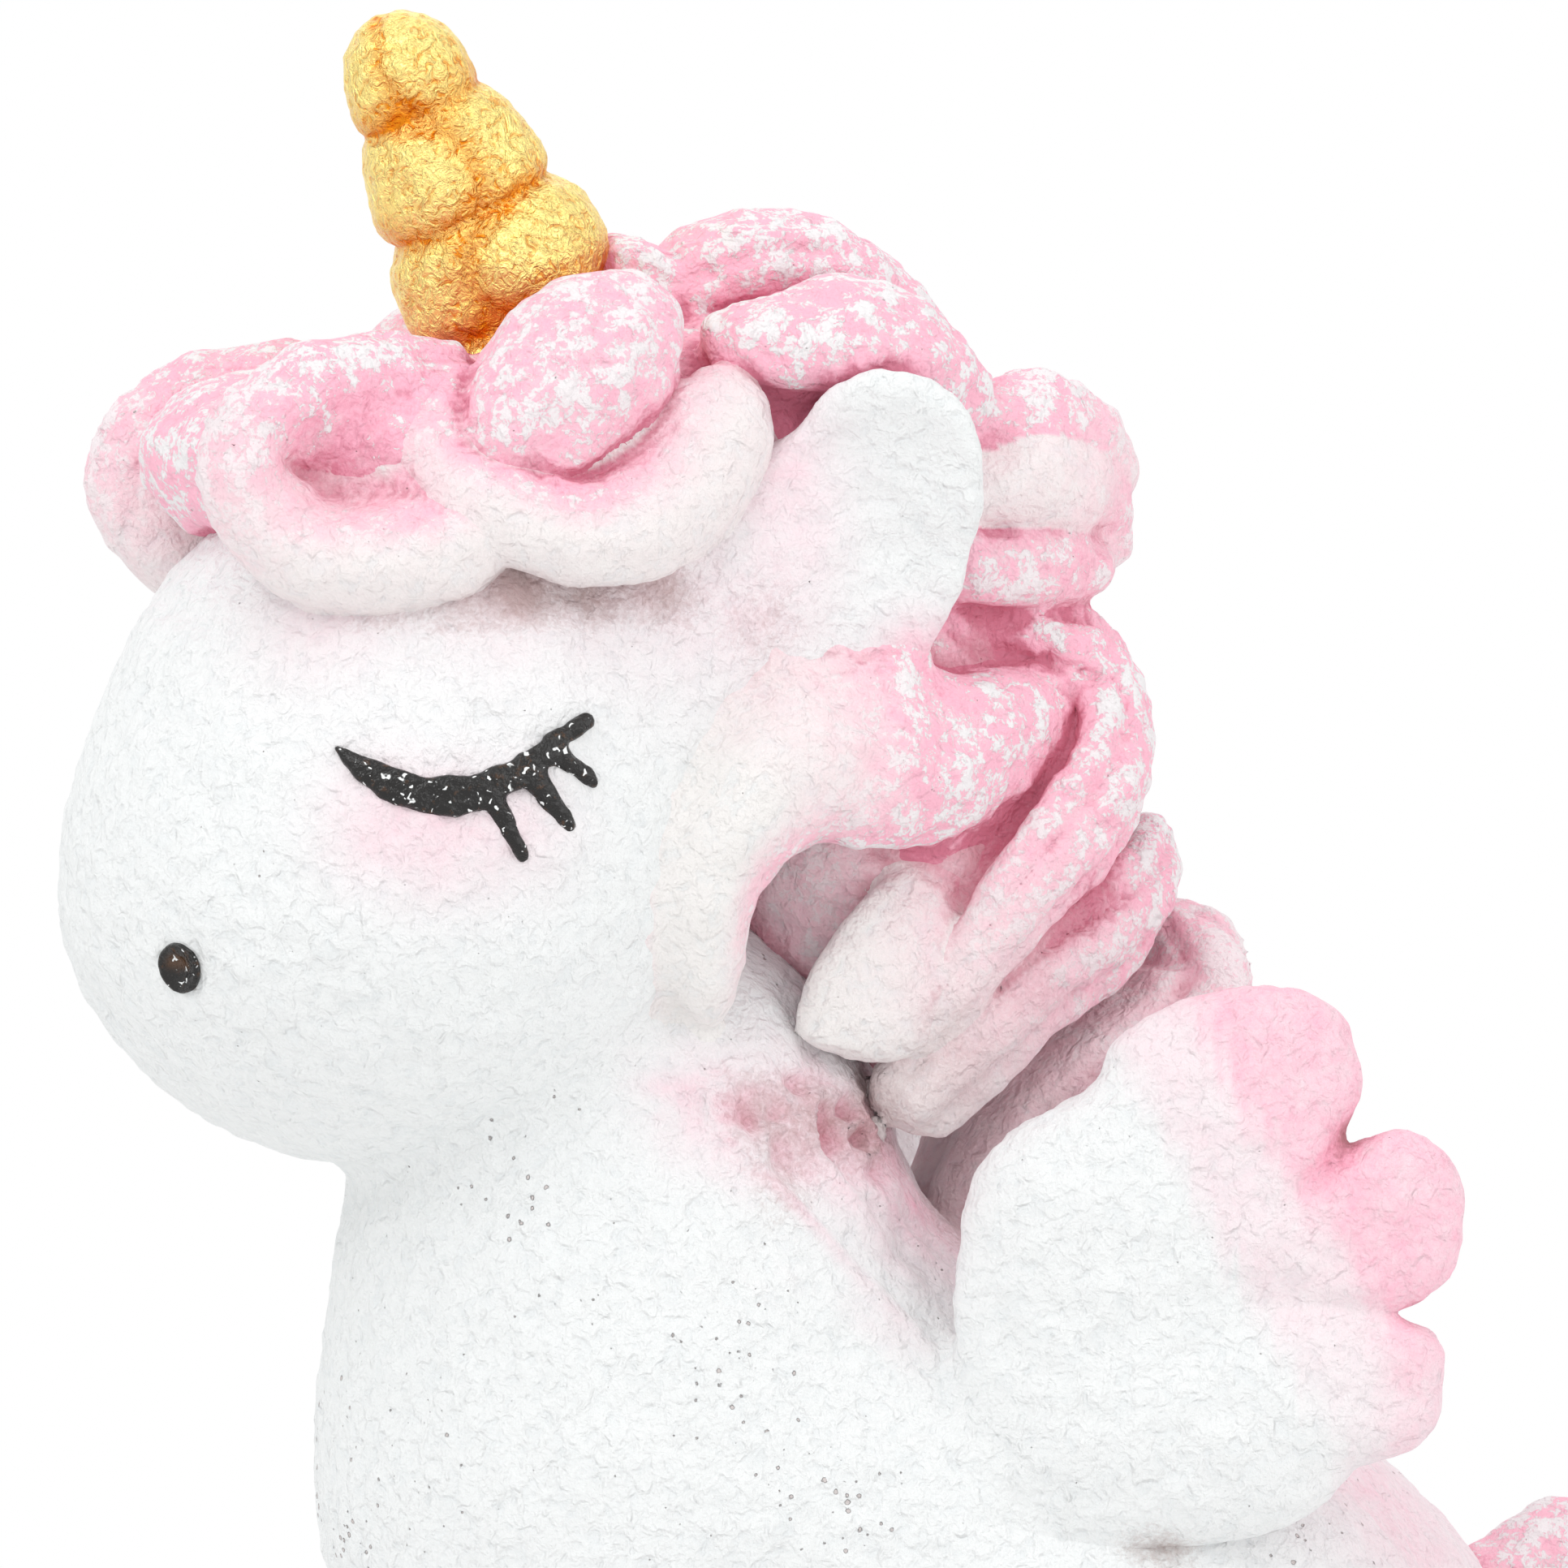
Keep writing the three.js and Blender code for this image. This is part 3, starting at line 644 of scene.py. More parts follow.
# Strokes of a stiff brush down the neck, and the lengths in mm of their grain across, through and along them
NECK_STROKES = ((4, 14, 49, 5, 0.8), (9, 13, 48, 5, 1.0), (13, 11, 45, 5, 1.0), (12, 14, 40, 3, 0.6))
STROKE_GRAIN = np.array(((0.7, 0, 0.7), (0, 1, 0), (0.7, 0, -0.7))) / (1.1, 2, 7)
STROKE_HEIGHT = 0.45


def cast_grain(sizes):
    """Grain that the castings share, so that they meet in one skin."""
    height = sizes.grain_height / MM
    return (3.0, 1.4 * height, 1), (1.3, height, 2), (0.75, 0.7 * height, 3)


class ORNAMENT_OT_body(bpy.types.Operator):
    """Sculpt the body casting, which runs up into the neck and sits flat on the ground"""
    bl_idname = "ornament.body"
    bl_label = "Body"

    def execute(self, context):
        sizes, paint = chosen(context)

        def field(points):
            return grounded(filleted(body_field(points), head_field(points), CAST_FILLET), points)

        verts, faces = skin(field, *BODY_BOX, sizes.fineness / MM * COARSER)
        verts = roughened(verts, faces, cast_grain(sizes))
        glued = airbrushed(verts, SEAM)
        folds = glued * (0.6 - 2.4 * np.abs(speckle(verts, 1.9, 4)) + 0.6 * speckle(verts, 1.1, 5))
        drawn = airbrushed(verts, NECK_STROKES) * speckle(verts @ STROKE_GRAIN, 1, 6)
        verts = verts + normals_of(verts, faces) * (FOLD_HEIGHT * folds + STROKE_HEIGHT * drawn)[:, None]
        verts[:, 2] = np.maximum(verts[:, 2], 0)
        pink = airbrushed(verts, AIRBRUSH) + 0.3 * np.clip(-folds, 0, 1) + 0.4 * np.maximum(drawn, 0)
        add_pieces("body_casting", "body", verts, faces, POROUS, paint, pink, words=WHOLE)
        return {"FINISHED"}


class ORNAMENT_OT_head(bpy.types.Operator):
    """Sculpt the head casting"""
    bl_idname = "ornament.head"
    bl_label = "Head"

    def execute(self, context):
        sizes, paint = chosen(context)
        box = box_about((HEAD_CENTRE - HEAD_HALF, HEAD_CENTRE + HEAD_HALF), 3)
        verts, faces = skin(dented_head, *box, sizes.fineness / MM)
        add_pieces("head_casting", "head", verts, faces, RUBBED, paint, grain=cast_grain(sizes), words=WHOLE)
        return {"FINISHED"}


# Ears: broad dished leaves from root to tip, which face forward and out, each with a foot on the head
EAR_ROOT, EAR_TIP = by_axis(8.9, -12, 80.1), by_axis(11.5, -18, 96.1)
EAR_MIDDLE = (EAR_ROOT + EAR_TIP) / 2
EAR_FACING = np.array((-0.34, LEFT, 0))
EAR_HALF_WIDTH = 6.3
EAR_TIP_ROUND = 1.6
EAR_POWER = 2.3
EAR_FOOT = (by_axis(4.2, -11.5, 84), np.array((8, 4.5, 9)))
EAR_FOOT_FILLET, EAR_FILLET = 4, 6
EAR_SPACE = 18


def ear_field(points, sizes):
    """Distance in mm to the left ear, whose foot runs smoothly onto the head."""
    rim, hollow = sizes.ear_thickness / MM / 2, sizes.ear_hollow / MM
    up = (EAR_TIP - EAR_ROOT) / np.linalg.norm(EAR_TIP - EAR_ROOT)
    half_length = np.linalg.norm(EAR_TIP - EAR_ROOT) / 2 + EAR_TIP_ROUND
    out = EAR_FACING - (EAR_FACING @ up) * up
    out /= np.linalg.norm(out)
    local = (points - EAR_MIDDLE) @ np.stack((up, np.cross(out, up), out)).T
    spread = (local[..., 0] / half_length) ** 2 + (local[..., 1] / EAR_HALF_WIDTH) ** 2
    local[..., 2] += hollow * np.clip(1 - spread, 0, 1)
    leaf = egg_field(local, 0, np.array((half_length, EAR_HALF_WIDTH, rim)), EAR_POWER)
    whole = joined(leaf, egg_field(points, *EAR_FOOT), EAR_FOOT_FILLET)
    return filleted(whole, head_field(points), EAR_FILLET)


class ORNAMENT_OT_ears(bpy.types.Operator):
    """Sculpt the two ears, which run smoothly onto the head"""
    bl_idname = "ornament.ears"
    bl_label = "Ears"

    def execute(self, context):
        sizes, paint = chosen(context)
        field = functools.partial(ear_field, sizes=sizes)
        verts, faces = skin(field, EAR_MIDDLE - EAR_SPACE, EAR_MIDDLE + EAR_SPACE, sizes.fineness / MM)
        add_pieces("ear_leaf", "ear", verts, faces, RUBBED, paint, grain=cast_grain(sizes))
        return {"FINISHED"}


# Wings in a slanting plane: a blade, its lower edge and three feathers, as (back, height, half length, half
# height, tilt in degrees)
WING_ROOT = (15.1, 17.5)
WING_FLARE = math.radians(22.3)
WING_BLADE = ((11, 42.4, 11.2, 11, 0), (13.5, 33, 10, 5.8, 8), (13, 49.5, 10, 6.4, 33))
WING_FEATHERS = ((16.4, 54.7, 7.8, 5.7, 12), (23, 47, 7.3, 5.9, -6), (22.4, 37.3, 6.7, 4.9, -4))
WING_POWER = 2.7
# Fillets within the blade, between the feathers, and between the two; middle and half size of their space
BLADE_FILLET, FEATHER_FILLET, WING_FILLET = 4, 0.3, 1.6
WING_MIDDLE, WING_SPACE = np.array((14, 0, 43)), 24
# Creases between the feathers, from (back, height) at the open end to the inner end, with their depth
WING_CREASES = (((25.5, 53.8), (19.5, 47), 2.4), ((29, 42), (22.8, 39.2), 0.9))
WING_CREASE_WIDTH = 0.9
# Two coats of pink, thin and full: how far back each starts at a height, its slant, the furthest back that it
# starts, and its strength; width and length of the brush strokes at its edge
WING_COATS = ((11.8, 53, 0.55, 22.5, 0.28), (16.4, 55, 0.62, 25.4, 0.5))
WING_STROKE = (0.5, 9)


def wing_crease(back, height):
    """Depth in mm of the creases between the feathers."""
    depth = np.zeros(back.shape)
    for start, end, deepest in WING_CREASES:
        run = np.subtract(end, start)
        off = np.stack((back, height), axis=-1) - start
        share = np.clip(off @ run / (run @ run), 0, 1)
        gap = np.linalg.norm(off - share[..., None] * run, axis=-1)
        depth += deepest * (1 - share) * np.exp(-(gap / WING_CREASE_WIDTH) ** 2)
    return depth


class ORNAMENT_OT_wings(bpy.types.Operator):
    """Sculpt the two wings, with puffed feathers, brushed pink towards their tips"""
    bl_idname = "ornament.wings"
    bl_label = "Wings"

    def execute(self, context):
        sizes, paint = chosen(context)
        thick = sizes.wing_thickness / MM / 2
        turn = LEFT * WING_FLARE
        plane = np.array((
            (math.cos(turn), math.sin(turn), 0), (-math.sin(turn), math.cos(turn), 0), (0, 0, 1)))
        root = by_axis(WING_ROOT[0], LEFT * WING_ROOT[1], 0)

        def lobes(local, shapes, round_by):
            whole = None
            for back, height, half_length, half_height, tilt in shapes:
                half = np.array((half_length, thick, half_height))
                lobe = egg_field(local, np.array((back, 0, height)), half, WING_POWER, tilted(tilt))
                whole = lobe if whole is None else joined(whole, lobe, round_by)
            return whole

        def field(points):
            local = (points - root) @ plane.T
            feathers = lobes(local, WING_FEATHERS, FEATHER_FILLET)
            whole = joined(lobes(local, WING_BLADE, BLADE_FILLET), feathers, WING_FILLET)
            whole += wing_crease(local[..., 0], local[..., 2])
            return grounded(filleted(whole, body_field(points), CAST_FILLET), points)

        middle = root + WING_MIDDLE @ plane
        verts, faces = skin(field, middle - WING_SPACE, middle + WING_SPACE, sizes.fineness / MM)
        back, _, height = ((verts - root) @ plane.T).T
        wide, long = WING_STROKE
        stroke = speckle(np.stack((back / wide, np.zeros(len(back)), height / long), axis=1), 1, 10)
        # Pink along the creases between the feathers is painted shade there
        pink = airbrushed(verts, AIRBRUSH) + 0.2 * wing_crease(back, height)
        for start, level, slant, furthest, strength in WING_COATS:
            edge = np.minimum(start + slant * (level - height), furthest)
            strength = strength * (0.6 + 0.4 * smoothstep(35, 43, height))
            pink += strength * smoothstep(-1.6, 1.6, back - edge + 0.8 * stroke)
        add_pieces("wing_blade", "wing", verts, faces, RUBBED, paint, pink, cast_grain(sizes))
        return {"FINISHED"}


# Legs, as distances from the neck axis, the centre plane and the ground
FORELEG_PATH = ((-4, 9.5, 24), (-8, 10.5, 13.2), (-9, 10.5, 2.1))
FORELEG_RADII = (6.6, 6.6, 5.9)
HAUNCH, HAUNCH_HALF = (30, 16, 16), np.array((17, 10, 16))
HIND_PATH = ((26, 20, 7), (17.5, 23, 6), (1.6, 23, 5.6))
HIND_RADII = (6, 6, 4.8)
HOOF_PLACES = {"front": (-9, 10.5), "hind": (5, 23)}
HOOF_SOLE, HOOF_TOP, HOOF_HEIGHT = 7.8, 6.9, 7.0
HOOF_ROUND, HOOF_PINK = 1.5, 0.9


class ORNAMENT_OT_legs(bpy.types.Operator):
    """Sculpt the forelegs and the folded hind legs"""
    bl_idname = "ornament.legs"
    bl_label = "Legs"

    def execute(self, context):
        sizes, paint = chosen(context)
        fore, hind = on_left(FORELEG_PATH), on_left(HIND_PATH)
        haunch = on_left([HAUNCH])[0]

        def foreleg(points):
            leg = rod_field(points, fore, FORELEG_RADII)
            return grounded(filleted(leg, body_field(points), LEG_FILLET), points)

        def hind_leg(points):
            thigh = egg_field(points, haunch, HAUNCH_HALF)
            leg = joined(thigh, rod_field(points, hind, HIND_RADII), LEG_FILLET)
            return grounded(filleted(leg, body_field(points), LEG_FILLET), points)

        hind_places = (haunch - HAUNCH_HALF, haunch + HAUNCH_HALF, *hind)
        for name, field, box in (("foreleg", foreleg, box_about(fore, 15)),
                                 ("hind_leg", hind_leg, box_about(hind_places, 12))):
            verts, faces = skin(field, *box, sizes.fineness / MM * COARSER)
            add_pieces(f"{name}_cast", name, verts, faces, POROUS, paint, grain=cast_grain(sizes))
        return {"FINISHED"}


class ORNAMENT_OT_hooves(bpy.types.Operator):
    """Sculpt the four hooves"""
    bl_idname = "ornament.hooves"
    bl_label = "Hooves"

    def execute(self, context):
        sizes, paint = chosen(context)
        for end, (back, out) in HOOF_PLACES.items():
            foot = by_axis(back, LEFT * out, 0)

            def field(points):
                local = points - foot
                radius = HOOF_SOLE + (HOOF_TOP - HOOF_SOLE) * local[..., 2] / HOOF_HEIGHT
                wall = np.linalg.norm(local[..., :2], axis=-1) - radius
                return grounded(-joined(-wall, HOOF_HEIGHT - local[..., 2], HOOF_ROUND), points)

            reach = np.array((HOOF_SOLE + 1, HOOF_SOLE + 1, HOOF_HEIGHT + 1))
            verts, faces = skin(field, foot - reach, foot + reach, sizes.fineness / MM)
            add_pieces(f"hoof_cast_{end}", f"hoof_{end}", verts, faces, CLAY, paint, HOOF_PINK,
                       cast_grain(sizes))
        return {"FINISHED"}


# Horn: a leaning cone of plaited lumps, with half widths from the mane to the tip, a groove round it between
# the lumps and one along its near and far sides, which wanders
HORN_FOOT = (-0.455, 1.3)
HORN_LEAN = math.radians(28)
HORN_SUNK = 4.0
HORN_HALVES = (6.8, 6.8, 6.8, 6.8, 6.6, 6, 5.4, 4.8, 4.2, 3.7, 3.5)
HORN_CAP = 0.15
HORN_LUMP, HORN_FIRST_LUMP = 6.8, 6.5
HORN_RING, HORN_SEAM = 0.17, 0.2
HORN_SEAM_TURN, HORN_WANDER = math.radians(110), 0.35
HORN_STEP = 0.25
HORN_GRAIN = ((2.6, 0.18, 13), (1.0, 0.12, 14), (0.5, 0.08, 15))


class ORNAMENT_OT_horn(bpy.types.Operator):
    """Sculpt the plaited horn"""
    bl_idname = "ornament.horn"
    bl_label = "Horn"

    def execute(self, context):
        sizes, paint = chosen(context)
        length = sizes.horn_length / MM
        axis = np.array((-math.sin(HORN_LEAN), 0, math.cos(HORN_LEAN)))
        foot = by_head(*HORN_FOOT)
        path = [foot + axis * run for run in np.linspace(-HORN_SUNK, length, 5)]
        lock = stations(path, HORN_HALVES, sideways, HORN_CAP)

        def creased(places):
            share, wide, high, over, half = about_lock(places, lock)
            from_tip = (1 - share) * (length + HORN_SUNK)
            wander = HORN_WANDER * np.sin(from_tip * math.pi / HORN_LUMP)
            ring = (1 - np.abs(np.sin(math.pi * (from_tip - HORN_FIRST_LUMP) / HORN_LUMP))) ** 2
            seam = (1 - np.abs(np.sin(np.arctan2(high, wide) + HORN_SEAM_TURN + wander))) ** 2
            return from_tip, HORN_RING * ring + HORN_SEAM * seam, np.hypot(wide, high), over, half

        def field(points):
            _, crease, size, over, half = creased(points.reshape(-1, 3))
            return capped(size - half * (1 - crease), over).reshape(points.shape[:-1])

        verts, faces = skin(field, *box_about(path, 8), HORN_STEP)
        from_tip, crease, *_ = creased(verts)
        # Painted shade: orange in the grooves and on the underside of each lump
        under = smoothstep(0.5, 1, (from_tip - HORN_FIRST_LUMP) / HORN_LUMP % 1)
        deepening = under * smoothstep(-0.3, 0.5, speckle(verts, 4.5, 12))
        orange = np.clip(crease / HORN_RING - 0.5, 0, 0.6) + 0.6 * deepening
        add_pieces("horn_plait", "horn", verts, faces, GOLD, paint, orange, HORN_GRAIN, WHOLE)
        return {"FINISHED"}


# Closed eyes: a hanging line and three lashes, as shares forward and up on the head, with the widths of the
# line and those of a lash at its root and tip
EYE_LINE = (
    (0.43, 0.17), (0.37, 0.12), (0.3, 0.075), (0.2, 0.045), (0.11, 0.04), (0.01, 0.06), (-0.07, 0.1),
    (-0.16, 0.15), (-0.24, 0.2), (-0.31, 0.24))
EYE_LINE_WIDTHS = (0.2, 0.65, 0.85, 0.95, 1.0, 0.9, 0.75, 0.65, 0.5, 0.45)
EYE_LASHES = (
    ((0.0, 0.04), (-0.085, -0.12)), ((-0.13, 0.09), (-0.235, -0.04)), ((-0.21, 0.16), (-0.325, 0.075)))
LASH_WIDTHS = (0.7, 0.32)
# Nostrils: place on the head, half sizes of the enamel, and width and depth of the dent under it
NOSTRIL = (0.815, -0.425)
NOSTRIL_HALF = np.array((1.4, 1.6, 1.6))
NOSTRIL_DENT, NOSTRIL_DEPTH = 1.2, 0.7
# Film in a nostril, next to that of the eyes; rounding of the films' edges; their grain and fineness
NOSTRIL_FILM = 1.2
EYE_EDGE, NOSTRIL_EDGE, LASH_FILLET = 0.35, 0.3, 0.4
EYE_WAVER = (1.1, 0.18, 16)
ENAMEL_GRAIN = ((1.2, 0.08, 16), (0.5, 0.06, 17))
ENAMEL_STEP = 0.14


def dented_head(points):
    """The head, with a dent pressed into it at each nostril."""
    folded = points * (1, 0, 1) - np.abs(points) * (0, 1, 0)
    gap = np.linalg.norm(folded - head_place(*NOSTRIL), axis=-1)
    return head_field(points) + NOSTRIL_DEPTH * np.exp(-(gap / NOSTRIL_DENT) ** 2)


class ORNAMENT_OT_enamel(bpy.types.Operator):
    """Lay on the thick enamel of the closed eyes and the nostrils"""
    bl_idname = "ornament.enamel"
    bl_label = "Enamel"

    def execute(self, context):
        sizes, paint = chosen(context)
        film = sizes.enamel_height / MM
        width = sizes.lash_width / MM / 2
        line = [head_place(*place) for place in EYE_LINE]
        line_radii = [width * share for share in EYE_LINE_WIDTHS]
        lashes = [[head_place(*place) for place in lash] for lash in EYE_LASHES]
        lash_radii = [width * share for share in LASH_WIDTHS]
        centre = head_place(*NOSTRIL)

        def eye(points):
            drawn = rod_field(points, line, line_radii)
            for lash in lashes:
                drawn = joined(drawn, rod_field(points, lash, lash_radii), LASH_FILLET)
            drawn = drawn + noise(points.reshape(-1, 3), [EYE_WAVER]).reshape(drawn.shape)
            return -joined(-drawn, film - np.abs(head_field(points)), EYE_EDGE)

        def nostril(points):
            bead = egg_field(points, centre, NOSTRIL_HALF)
            return -joined(-bead, film * NOSTRIL_FILM - np.abs(dented_head(points)), NOSTRIL_EDGE)

        corners = line + [place for lash in lashes for place in lash]
        for name, node, field, box in (("eye_enamel", "eyelash", eye, box_about(corners, 2)),
                                       ("nostril_enamel", "nostril", nostril, box_about([centre], 2.5))):
            verts, faces = skin(field, *box, ENAMEL_STEP)
            # Painted reflection: brown in the upper half of the middle of a nostril
            gap = np.linalg.norm(verts - centre, axis=1)
            nostril_reflection = smoothstep(1.2, 0.6, gap) * smoothstep(-0.4, 0.3, verts[:, 2] - centre[2])
            add_pieces(name, node, verts, faces, ENAMEL, paint, nostril_reflection, ENAMEL_GRAIN)
        return {"FINISHED"}


# Core of the mane over crown, brow and nape, as places and half sizes, and the space that it fills
CORE_EGGS = (
    ((5.9, 0, 90), np.array((22, 14, 12))), ((-16, 0, 92.5), np.array((14.5, 14.3, 6.6))),
    ((16.6, 0, 72), np.array((12.6, 12.4, 18))))
CORE_FILLET = 4
CORE_BOX = (by_axis(-33, -15, 52), by_axis(32, 15, 104))
# Wrinkles of the clay of the mane, as (size, height, seed), and its fineness
CLAY_GRAIN = ((2.6, 0.28, 21), (1.3, 0.2, 22), (0.8, 0.12, 23))
CLAY_STEP = 0.36


def core_field(points):
    eggs = (egg_field(points, by_axis(*place), half) for place, half in CORE_EGGS)
    return functools.reduce(functools.partial(joined, round_by=CORE_FILLET), eggs)


class ORNAMENT_OT_mane_core(bpy.types.Operator):
    """Sculpt the core that carries the locks"""
    bl_idname = "ornament.mane_core"
    bl_label = "Mane core"

    def execute(self, context):
        sizes, paint = chosen(context)
        verts, faces = skin(core_field, *CORE_BOX, sizes.fineness / MM * COARSER)
        verts = roughened(verts, faces, CLAY_GRAIN)
        pink = 0.5 + 0.5 * smoothstep(78, 84, verts[:, 2])
        add_pieces("mane_core_cast", "mane_core", verts, faces, CLAY, paint, pink, words=WHOLE)
        return {"FINISHED"}


# Locks: path as (back, out, height) and half widths, in mm; strands as thickness of the lock over its width,
# their number, how far they turn and how deep their creases are; how softly the lock runs onto what carries
# it; pink along it, and, where an inner side is given by a place, pink along its outer side
LOCKS = {
    "crown_lock": dict(
        path=((1.4, 9, 99.4), (5.7, 11.5, 99.4), (10.2, 12, 99.7), (14.8, 11, 98), (19.1, 8, 94.7)),
        halves=(2.8, 4.3, 4.8, 4.6, 3.4), strands=(0.8, 3, 0.2, 0.08), round_by=1.2, pinks=(1, 1)),
    "rear_bang": dict(
        path=((-14.1, 10.8, 98.3), (-16.1, 12, 94.7), (-15.7, 13.8, 91.4), (-12.6, 15.5, 89.2),
              (-8.9, 15.8, 88.1), (-5.3, 15.5, 88.8), (-2.1, 14.5, 90.8), (1.1, 13.5, 94.7), (2.7, 12, 98.1)),
        halves=(1.8, 2.6, 3.1, 3.4, 3.7, 4.3, 4.4, 4.1, 2.6), strands=(0.8, 2, 0.1, 0.05), round_by=0.8,
        pinks=(1, 1, 0.9, 0.9, 0.9, 0.85, 0.7, 0.5, 0.6),
        outer=(1, 0.8, 0.3, 0.08, 0.08, 0.08, 0.1, 0.12, 0.3), inside=(-8.2, 11.5, 98)),
    "front_bang": dict(
        path=((-13, 8, 98), (-18.8, 9.6, 97.1), (-24.5, 11.2, 96), (-28, 12, 93.2), (-27.6, 12, 89.8),
              (-24.7, 12.2, 87), (-20.6, 13.5, 86.3), (-15.9, 14.5, 87.1), (-11.6, 14, 89.3)),
        halves=(3, 3.2, 3, 2.8, 2.8, 3.2, 3.5, 3.4, 2.4), strands=(1.0, 3, 0.3, 0.06), round_by=2.5,
        pinks=(1, 1, 1, 0.8, 0.6, 0.6, 0.7, 0.8, 0.8), outer=(1, 1, 1, 0.7, 0.4, 0.1, 0.08, 0.08, 0.1),
        inside=(-20, 13.5, 92)),
    "cheek_lock": dict(
        path=((27, 7.5, 78.5), (17.6, 12, 74.8), (11.8, 14, 74.3), (6.8, 15.2, 74), (2.7, 15.9, 71.3),
              (0.6, 15.7, 67.4), (0.2, 15, 64), (0.5, 14, 61), (1, 12.8, 58.5)),
        halves=(4.6, 5, 5.2, 5, 4.2, 3.2, 2.7, 2.2, 1.5), strands=(0.7, 1, 0, 0.0), round_by=1.5,
        head_round=3.5, pinks=(1, 1, 1, 0.9, 0.8, 0.7, 0.5, 0.2, 0), outer=(1, 1, 0.95, 0.3, 0, 0, 0, 0, 0),
        inside=(10, 6, 62)),
    "inner_lock": dict(
        path=((18.6, 10, 67.4), (15.8, 11.4, 65.2), (13, 12.2, 62.3), (10.9, 12.2, 58.8), (10.2, 11.6, 56.2)),
        halves=(2.2, 3.6, 4.2, 4.3, 3.6), strands=(0.38, 2, 0, 0.0), round_by=0.8, cap=0.12,
        outward=sideways, pinks=(1, 0.6, 0.35, 0.1, 0), outer=(0.8, 0.15, 0, 0, 0), inside=(24, 11, 58)),
    "nape_lock": dict(
        path=((19.5, 9.5, 82), (24, 9, 82), (27.3, 8.4, 79.4), (28, 9.2, 76), (27.2, 10.4, 73.4),
              (24.8, 11.8, 70.2), (21.8, 12.6, 67.2), (18.9, 12.6, 63.5), (16, 12, 59.2), (13.9, 11.4, 56.2)),
        halves=(2.2, 3.2, 3.9, 4.3, 4.2, 3.8, 3.2, 2.6, 2, 1.4), strands=(0.7, 5, 0.3, 0.2), round_by=1.2,
        outward=from_nape, pinks=(1, 1, 1, 1, 0.95, 0.9, 0.75, 0.45, 0.15, 0.05)),
    "shoulder_lock": dict(
        path=((33.2, 2, 70.4), (31.5, 5.5, 66.5), (28.1, 7.7, 64), (22.9, 9.2, 61), (18.2, 9.8, 57),
              (14.8, 9.8, 53.5), (13.6, 9.4, 52.1)),
        halves=(3, 3.8, 4.2, 4.2, 3.9, 3.2, 2), strands=(0.7, 5, 0.3, 0.2), round_by=1.2, outward=from_nape,
        pinks=(1, 0.95, 0.85, 0.55, 0.25, 0.1, 0.05)),
    "crown_lock_centre": dict(
        path=((-4.4, 0, 103.6), (-0.7, 0, 103.9), (2.2, 0, 102.8), (5.1, 0, 104.1), (8.8, 0, 104.9),
              (13.1, 0, 104.1), (17.4, 0, 101.2), (21.7, 0, 97.1)),
        halves=(4, 4.6, 4.8, 5.4, 5.6, 5.4, 4.8, 3.4), strands=(0.58, 4, 0.2, 0.1), round_by=1.2,
        pinks=(1, 1)),
    "back_lock": dict(
        path=((34.7, 0, 65.3), (36.6, 0, 61.4), (34.7, 0, 57.6), (29.8, 0, 54.2), (25.2, 0, 50.7),
              (22.3, 0, 47.2), (20.5, 0, 43.5)),
        halves=(5, 8, 9.5, 9.5, 8.4, 6.8, 5), strands=(0.5, 5, 0.3, 0.16), round_by=0.8,
        pinks=(0.75, 0.65, 0.5, 0.4, 0.3, 0.25, 0.2)),
    "topknot": dict(
        path=((-14.6, 13.4, 91), (-11.4, 13.6, 94), (-8.2, 13.2, 97), (-5, 12.4, 100), (-2.2, 11.4, 102.8)),
        halves=(4.8, 5.1, 5.3, 5.2, 4.8), strands=(1.0, 2, 0.7, 0.12), round_by=0.8, cap=0.5,
        pinks=(0.9, 0.9)),
}
CENTRED = ("crown_lock_centre", "back_lock", "nape_bun")
# Curl at the back of the head: three rolls on each flank, as places, radii and their pink, round a heart
BUN_ROLLS = (
    (((18.3, 10, 94.6), (23.2, 9, 95.2), (27, 7.4, 94), (29.6, 5.6, 91.8)), (2.3, 2.4, 2.4, 2),
     (1, 0.95, 0.7, 0.4)),
    (((17.8, 11, 90.6), (22, 10.8, 91.2), (26, 9.2, 90.6), (29.2, 6.8, 89.4)), (2.2, 2.7, 2.5, 1.8),
     (0.15, 0.15, 0.4, 0.8)),
    (((17.6, 10.8, 86.2), (22, 10, 86), (26.2, 8.2, 86.2), (29, 6, 87.2)), (2.4, 2.5, 2.4, 2),
     (0.9, 0.85, 0.8, 0.6)))
BUN_HEART, BUN_HEART_HALF = (23.4, 0, 90), np.array((7.2, 9.8, 7.2))
BUN_FILLET, BUN_MARGIN = 0.9, 5
BUN_LUMPS = ((4.5, 0.6, 24), (2, 0.3, 25))
BUN_FEET = dict(round_by=1.0)
# Softness of the valleys between locks and of their feet on the head, unless they have their own; how far
# under the skin of the head those end; the space of all locks behind the neck axis, to each side and upward
VALLEY, HEAD_ROUND, HEAD_UNDER = 0.8, 0.7, 0.3
CLAY_BACK, CLAY_OUT, CLAY_HEIGHT = (-36, 42), 24, (42, 110)
# Distance in mm that stands for no clay nearby
FAR = 9.0


def lock_pink(verts, faces, lock, pinks, outer=None, inside=None):
    """Amount of pink at the corners of a lock, along it and on the side that faces a place inside."""
    share = about_lock(verts, lock)[0]
    pink = along(pinks, share)
    if inside is None:
        return pink
    inward = on_left([inside])[0] - verts
    inward /= np.linalg.norm(inward, axis=1, keepdims=True)
    facing = smoothstep(-0.6, 0.15, np.sum(inward * normals_of(verts, faces), axis=1))
    return pink * facing + along(outer, share) * (1 - facing)


